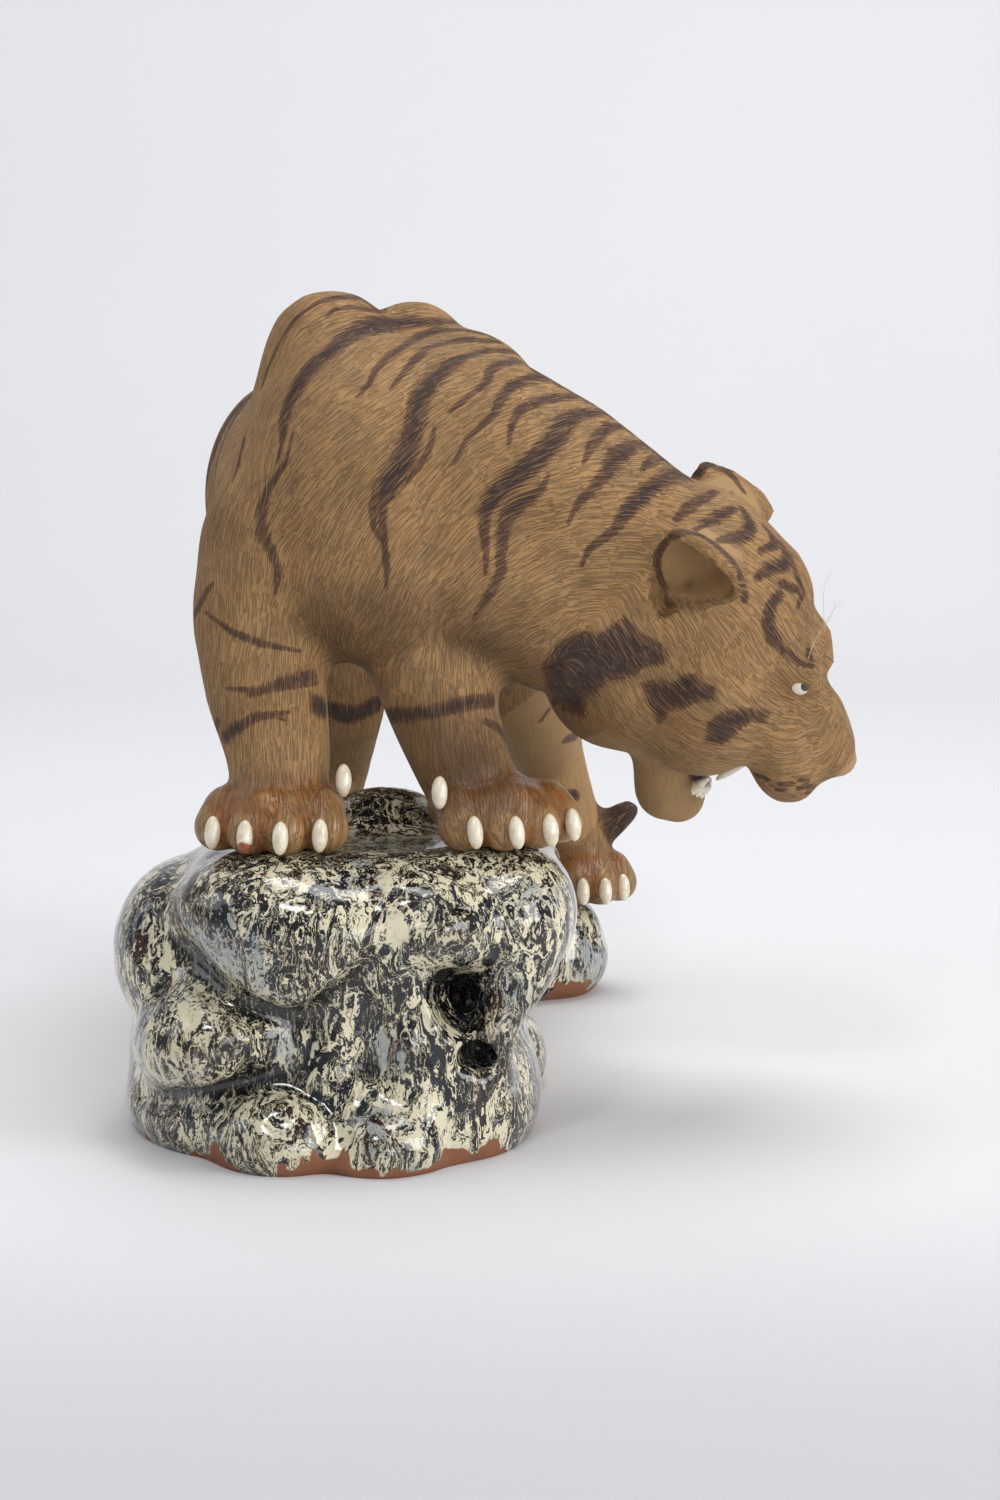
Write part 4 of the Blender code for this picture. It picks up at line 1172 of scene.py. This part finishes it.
def stoneware():
    """Unglazed tan clay with combed fur, dark stripes and glossier brown paws."""
    recipe = Recipe("stoneware")
    place = recipe.place()
    normal = recipe.stored("sheen", "Vector")
    along = recipe.vector("NORMALIZE", recipe.stored("fur", "Vector"))
    across = recipe.vector("NORMALIZE", recipe.vector("CROSS_PRODUCT", normal, along))
    comb_a, teeth_a, inside = strokes(recipe, place, along, across, 12.0, HAIR_SPACING, HAIR_LENGTH, 0.0)
    comb_b, teeth_b = strokes(recipe, place, along, across, 14.0, HAIR_SPACING, HAIR_LENGTH, 7.3)[:2]
    wander = recipe.swing(comb_b, 0.3)
    share = recipe.ramp(recipe.math("ADD", inside, wander), 0.03, 0.12)
    comb = recipe.blend(share, comb_b, comb_a)
    teeth = recipe.blend(share, teeth_b, teeth_a)
    bare = recipe.stored("bare")
    paw = recipe.stored("paw")
    dip = recipe.stored("dip")
    fur = recipe.math("SUBTRACT", 1.0, bare)
    ridge = recipe.ramp(comb, 0.37, 0.50)
    low = recipe.math("SUBTRACT", 1.0, ridge)
    # Colour of the clay, from warm tan to olive grey, with painted shade on the undersides, in the combed
    # grooves, in the hollows and under the body
    wide = recipe.noise(place, 0.022)
    middle = recipe.noise(place, 0.07, 3.0, 0.6)
    fine = recipe.noise(place, 0.55, 3.0, 0.6)
    clay = recipe.mix(recipe.ramp(wide, 0.38, 0.62), tone("A27C50"), tone("AE875A"))
    clay = recipe.mix(recipe.ramp(middle, 0.42, 0.72, 0.0, 0.55), clay, tone("8C7250"))
    # Painted shade on the skin that faces down
    clay = recipe.mix(recipe.math("MULTIPLY", recipe.stored("under"), 0.7), clay, tone("6A5338"))
    clay = recipe.mix(recipe.ramp(fine, 0.35, 0.7, 0.0, 0.18), clay, tone("6E5A42"))
    clay = recipe.mix(recipe.math("MULTIPLY", bare, 0.55), clay, tone("A88A60"))
    brown = recipe.mix(recipe.ramp(middle, 0.38, 0.6), tone("8E6840"), tone("96602F"))
    brown = recipe.mix(recipe.ramp(dip, -0.15, -0.6, 0.0, 0.55), brown, tone("B08E60"))
    clay = recipe.mix(paw, clay, brown)
    # Painted shade in the combed grooves between the hairs, strong on the fur and faint on bare clay
    groove_shade = recipe.mix(paw, tone("5E4A36"), tone("4C3020"))
    depth = recipe.math("MULTIPLY", low, recipe.blend(fur, 0.06, 0.48))
    clay = recipe.mix(depth, clay, groove_shade)
    # Painted shade in the hollows of the clay, such as between the toes and in the creases of the jaw
    clay = recipe.mix(recipe.ramp(dip, 0.35, 1.5, 0.0, 0.75), clay, tone("3C2A1E"))
    # Painted shade under the body, partly a thin dark glaze
    clay = recipe.mix(recipe.stored("glaze_and_shade"), clay, tone("584230"))
    # Stripes
    ragged = recipe.swing(teeth, 12.0)
    ragged = recipe.math("ADD", ragged, recipe.swing(comb, 1.6))
    ragged = recipe.math("MULTIPLY", recipe.math("MULTIPLY", ragged, recipe.stored("fray")), fur)
    edge = recipe.math("ADD", recipe.stored("stripe"), ragged)
    depth = recipe.math("ADD", edge, recipe.swing(middle, 5.0))
    stripe = recipe.mix(recipe.ramp(depth, -2.8, -0.2), tone("43342F"), tone("634634"))
    # Painted shade in the combed grooves inside the stripes
    stripe = recipe.mix(recipe.math("MULTIPLY", low, 0.45), stripe, tone("2C211E"))
    stripe = recipe.mix(recipe.ramp(comb, 0.56, 0.68, 0.0, 0.3), stripe, tone("7C6450"))
    painted = recipe.ramp(edge, 0.9, 0.1, 0.0, 0.96)
    painted = recipe.math("MULTIPLY", painted, recipe.ramp(comb, 0.55, 0.63, 1.0, 0.72))
    colour = recipe.mix(painted, clay, stripe)
    colour = recipe.mix(recipe.stored("mouth"), colour, tone("33221C"))
    colour = recipe.mix(recipe.stored("nose"), colour, tone("A98A66"))
    recipe.set(Base_Color=colour)
    recipe.set(Roughness=recipe.blend(paw, 0.74, 0.32), Specular_IOR_Level=recipe.blend(paw, 0.3, 0.5))
    height = recipe.math("MULTIPLY", ridge, recipe.blend(fur, 0.08, 1.0))
    height = recipe.math("ADD", height, recipe.math("MULTIPLY", recipe.noise(place, 1.4, 2.0, 0.6), 0.12))
    recipe.bump(height, 0.00034)
    return recipe.material


def rock_glaze():
    """Glossy glaze of black, cream and blue grey that has run over the clay, with bare clay at the foot."""
    recipe = Recipe("rock_glaze")
    place = recipe.place()
    dip = recipe.stored("dip")
    run = recipe.vector("MULTIPLY", place, (1.0, 1.0, 0.4))
    push = recipe.drift(run, 0.045, 60.0)
    curl = recipe.drift(run, 0.15, 22.0)
    twist = recipe.drift(place, 0.6, 3.0)
    swirl = recipe.vector("ADD", recipe.vector("ADD", recipe.vector("ADD", run, push), curl), twist)
    feather = recipe.noise(recipe.vector("MULTIPLY", swirl, (1.0, 1.0, 0.3)), 0.75, 4.0, 0.6)
    spots = recipe.noise(swirl, 0.13, 7.0, 0.60, 1.2)
    spots = recipe.math("ADD", spots, recipe.swing(feather, 0.36))
    broad = recipe.noise(recipe.vector("ADD", place, push), 0.034, 2.0, 0.5)
    level = recipe.math("ADD", spots, recipe.swing(broad, 0.34, 0.60))
    level = recipe.math("ADD", level, recipe.ramp(dip, 0.1, 0.5, 0.0, 0.05))
    level = recipe.math("ADD", level, recipe.ramp(dip, 0.7, 2.0, 0.0, -0.12))
    hue = recipe.noise(swirl, 0.09, 3.0, 0.6)
    haze = recipe.noise(recipe.vector("ADD", place, curl), 0.03, 2.0, 0.5)
    vein = recipe.math("ABSOLUTE", recipe.math("SUBTRACT", recipe.noise(swirl, 0.11, 5.0, 0.6), 0.5))
    dark = recipe.mix(recipe.ramp(hue, 0.40, 0.50), tone("131C28"), tone("0D0E10"))
    dark = recipe.mix(recipe.ramp(hue, 0.60, 0.68), dark, tone("3C2016"))
    pale = recipe.mix(recipe.ramp(haze, 0.54, 0.66, 0.0, 0.8), tone("E2D9BC"), tone("8795A0"))
    middling = recipe.mix(recipe.ramp(hue, 0.45, 0.6), tone("5A6468"), tone("7A6440"))
    glaze = recipe.mix(recipe.ramp(level, 0.485, 0.500), dark, middling)
    glaze = recipe.mix(recipe.ramp(level, 0.500, 0.515), glaze, pale)
    glaze = recipe.mix(recipe.ramp(vein, 0.016, 0.006, 0.0, 0.85), glaze, tone("D6CCAC"))
    glaze = recipe.mix(recipe.ramp(dip, -1.4, -3.0, 0.0, 0.25), glaze, tone("3A2A1C"))
    speck = recipe.ramp(recipe.noise(swirl, 1.1, 2.0, 0.6), 0.66, 0.72, 0.0, 0.8)
    glaze = recipe.mix(speck, glaze, tone("7A4322"))
    # Painted shade in the deepest creases of the rock
    glaze = recipe.mix(recipe.ramp(dip, 1.3, 3.4, 0.0, 0.8), glaze, tone("101216"))
    height = recipe.node("ShaderNodeSeparateXYZ")
    recipe.feed(height.inputs[0], place)
    foot = recipe.math("ADD", height.outputs["Z"], recipe.swing(broad, -44.0))
    bare = recipe.ramp(foot, 2.4, 1.2)
    clay = recipe.mix(recipe.noise(place, 0.2, 3.0, 0.6), tone("7A4C36"), tone("946444"))
    recipe.set(Base_Color=recipe.mix(bare, glaze, clay), Roughness=recipe.blend(bare, 0.08, 0.8))
    recipe.set(Specular_IOR_Level=0.5, Coat_Weight=recipe.blend(bare, 0.5, 0.0), Coat_Roughness=0.03)
    recipe.bump(recipe.noise(place, 0.12), 0.0006)
    return recipe.material


def ivory_glaze():
    recipe = Recipe("ivory_glaze")
    place = recipe.place()
    cloud = recipe.noise(place, 0.25, 3.0, 0.6)
    colour = recipe.mix(recipe.ramp(cloud, 0.35, 0.7), tone("EEE6D4"), tone("DCCBAA"))
    specks = recipe.ramp(recipe.noise(place, 0.9), 0.66, 0.76, 0.0, 0.5)
    colour = recipe.mix(specks, colour, tone("B08A5C"))
    stain = recipe.vector("LENGTH", recipe.vector("SUBTRACT", place, tuple(stain_place() + DESIGN_PLACE)))
    stain = recipe.math("ADD", stain, recipe.swing(cloud, 3.0))
    colour = recipe.mix(recipe.ramp(stain, 4.4, 3.2), colour, tone("8A4416"))
    recipe.set(Base_Color=colour, Roughness=0.16, Specular_IOR_Level=0.55)
    recipe.set(Coat_Weight=0.5, Coat_Roughness=0.05)
    recipe.bump(cloud, 0.0004)
    return recipe.material


def eye_glaze():
    """A white eyeball with a dark iris that looks ahead."""
    recipe = Recipe("eye_glaze")
    place = recipe.place()
    distances = []
    across, aside, up = EYE_PLACE
    for side in (-1, 1):
        centre = head_frame() @ Vector((across + 3.2, (aside + 5.0) * side, up + 3.6)) + DESIGN_PLACE
        distances.append(recipe.vector("LENGTH", recipe.vector("SUBTRACT", place, tuple(centre))))
    gap = recipe.math("MINIMUM", *distances)
    gap = recipe.math("ADD", gap, recipe.math("MULTIPLY", recipe.noise(place, 0.8), 0.4))
    white = recipe.mix(recipe.noise(place, 0.5), tone("E8E0D0"), tone("D8CCB4"))
    colour = recipe.mix(recipe.ramp(gap, 3.1, 2.7), white, tone("241C1A"))
    recipe.set(Base_Color=colour, Roughness=0.12, Coat_Weight=0.6, Coat_Roughness=0.04)
    return recipe.material


def bristle_coat():
    recipe = Recipe("bristle")
    shade = recipe.noise(recipe.place(), 0.3, 2.0, 0.5)
    recipe.set(Base_Color=recipe.mix(shade, tone("D8C9A6"), tone("B79F74")), Roughness=0.45)
    return recipe.material


# Pieces

# Where the skin is parted: the head's side and underside, and the height between body and legs
HEAD_FROM = (42, 110)
BODY_FROM = 196
# Rounds of smoothing that hollows and ridges are measured against
FUR_DIPS = 14
ROCK_DIPS = 60
BRISTLE_RADIUS = 0.11


def settle(name, mesh, material):
    """Puts a piece of the visible figurine in its place in the frame."""
    mesh.transform(Matrix.Diagonal((MM, MM, MM, 1.0)) @ Matrix.Translation(DESIGN_PLACE))
    mesh.materials.clear()
    mesh.materials.append(material)
    mesh.shade_smooth()
    piece = placed(name, mesh)
    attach(piece, "root")
    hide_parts("figurine")
    return piece


def part_of(mesh, name, keep):
    """The faces of a mesh that keep picks."""
    half = bmesh.new()
    half.from_mesh(mesh)
    drop = [face for face in half.faces if not keep(face.calc_center_median())]
    bmesh.ops.delete(half, geom=drop, context="FACES")
    made = bpy.data.meshes.new(name)
    half.to_mesh(made)
    half.free()
    return made


def keep_normals(mesh):
    """Shades a piece with the normals of the whole skin, so that no seam shows."""
    normals = np.empty(len(mesh.vertices) * 3, np.float32)
    mesh.attributes["sheen"].data.foreach_get("vector", normals)
    mesh.normals_split_custom_set_from_vertices(normals.reshape(-1, 3).tolist())


def stain_place():
    """The claw that carries a brown stain."""
    paw, width, height = next(all_paws())
    across, back, fan = list(toe_places(width))[1]
    return paw @ Vector((across + fan, back - 3.5, height * 0.48 - 2.4 - CLAW_LENGTH / 2 + 1))


HAIRS = (
    ((808, 660), (812, 645), (819, 632), (832, 612), (842, 601)),
    ((808, 658), (815, 640), (826, 625), (836, 607), (834, 600)),
    ((817, 652), (812, 643), (810, 634)),
    ((822, 655), (824, 640), (824, 615), (823, 590), (829, 575), (831, 571)),
)


def hairs(tree, coating):
    """Fine bristles that stand over the right eye."""
    for number, points in enumerate(HAIRS, start=1):
        root = cast_from_picture(tree, *points[0])
        depth = (root - CAMERA_AT).dot(VIEW_WAY)
        line = [root]
        for across, down in points[1:]:
            way = picture_ray(across, down)
            line.append(CAMERA_AT + way * (depth / way.dot(VIEW_WAY)))
        curve = bpy.data.curves.new(f"hair_{number}", "CURVE")
        curve.dimensions = "3D"
        curve.bevel_depth = BRISTLE_RADIUS * MM
        curve.bevel_resolution = 1
        curve.use_fill_caps = True
        spline = curve.splines.new("NURBS")
        spline.points.add(len(line) - 1)
        spline.use_endpoint_u = True
        spline.order_u = 3
        for index, (point, spot) in enumerate(zip(spline.points, line)):
            point.co = (*((spot + DESIGN_PLACE) * MM), 1.0)
            point.radius = 1.0 - 0.6 * index / len(line)
        curve.materials.append(coating)
        piece = bpy.data.objects.new(f"hair_{number}", curve)
        bpy.context.collection.objects.link(piece)
        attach(piece, "root")
        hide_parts(f"brow_bristle_{number}")


def in_head(centre):
    return centre.x > HEAD_FROM[0] and centre.z > HEAD_FROM[1]


def build_figurine():
    skin = tiger_skin()
    tree = paint_skin(skin)
    clay = stoneware()
    regions = (
        ("tiger_head", in_head),
        ("tiger_body", lambda centre: not in_head(centre) and centre.z > BODY_FROM),
        ("tiger_legs", lambda centre: not in_head(centre) and centre.z <= BODY_FROM))
    for name, keep in regions:
        mesh = part_of(skin, name, keep)
        piece = settle(name, mesh, clay)
        keep_normals(piece.data)
        print(name, len(mesh.polygons), "faces")
    bpy.data.meshes.remove(skin)
    ivory = ivory_glaze()
    settle("claws", claws(), ivory)
    settle("teeth", teeth(), ivory)
    settle("eyes", eyes(), eye_glaze())
    mesh = rock()
    places, normals = points_of(mesh)
    keep_values(mesh, (("dip", dips(mesh, places, normals, ROCK_DIPS)),))
    stone = settle("rock", mesh, rock_glaze())
    print("rock", len(stone.data.polygons), "faces")
    hairs(tree, bristle_coat())


# Stage

def studio():
    backdrop = bpy.data.meshes.new("backdrop")
    floor = bmesh.new()
    wide, near, far, high, bend = 6.0, -4.0, 1.2, 4.0, 0.8
    profile = [(near, 0.0), (far, 0.0)]
    for step in range(1, 17):
        angle = math.pi / 2 * step / 16
        profile.append((far + bend * math.sin(angle), bend - bend * math.cos(angle)))
    profile.append((far + bend, high))
    rows = [[floor.verts.new((side * wide, y, z)) for side in (-1, 1)] for y, z in profile]
    for low, up in zip(rows, rows[1:]):
        floor.faces.new((low[0], low[1], up[1], up[0]))
    floor.to_mesh(backdrop)
    floor.free()
    backdrop.shade_smooth()
    paper = Recipe("paper")
    cloud = paper.noise(paper.place(), 0.002, 1.0, 0.5)
    reach = paper.node("ShaderNodeSeparateXYZ")
    paper.feed(reach.inputs[0], paper.place())
    colour = paper.mix(cloud, tone("ECECEE"), tone("E8E8EB"))
    # Painted shade: the floor darker towards the camera
    colour = paper.mix(paper.ramp(reach.outputs["Y"], -150, -480, 0.0, 1.0), colour, tone("CDCDD0"))
    paper.set(Base_Color=colour, Roughness=0.9)
    backdrop.materials.append(paper.material)
    piece = placed("backdrop", backdrop)


def lamp(name, place, target, size, power, colour=(1, 1, 1)):
    light = bpy.data.lights.new(name, "AREA")
    light.shape = "RECTANGLE"
    light.size, light.size_y = size
    light.energy = power
    light.color = colour
    piece = bpy.data.objects.new(name, light)
    bpy.context.collection.objects.link(piece)
    piece.location = place
    piece.rotation_euler = (Vector(target) - Vector(place)).to_track_quat("-Z", "Y").to_euler()


def lights():
    lamp("key", (-0.45, -1.5, 2.1), (0, 0, 0.15), (0.42, 0.42), 8)
    lamp("left", (-1.9, -0.3, 1.3), (0, 0, 0.15), (1.0, 1.2), 5, (0.96, 0.98, 1.0))
    lamp("right", (3.2, -1.9, 1.35), (0.05, 0, 0.2), (1.9, 2.2), 68, (1.0, 0.99, 0.97))
    lamp("top", (0.2, 0.3, 2.2), (0, 0, 0.1), (1.4, 1.2), 23)
    lamp("fill", (1.5, -3.2, 0.75), (0.08, 0, 0.2), (1.7, 1.3), 19)
    world = bpy.data.worlds.new("room")
    bpy.context.scene.world = world
    world.use_nodes = True
    world.node_tree.nodes["Background"].inputs["Color"].default_value = tone("F2F4F8")
    world.node_tree.nodes["Background"].inputs["Strength"].default_value = 0.37


def camera():
    lens = bpy.data.cameras.new("camera")
    lens.lens = CAMERA_LENS
    lens.sensor_width = SENSOR
    lens.clip_start = 0.01
    piece = bpy.data.objects.new("camera", lens)
    bpy.context.collection.objects.link(piece)
    piece.location = (CAMERA_AT + DESIGN_PLACE) * MM
    piece.rotation_euler = (math.radians(90 - CAMERA_TILT), 0, 0)
    bpy.context.scene.camera = piece
    bpy.context.scene.view_settings.view_transform = "Standard"


build_figurine()
studio()
lights()
camera()
bpy.context.view_layer.update()
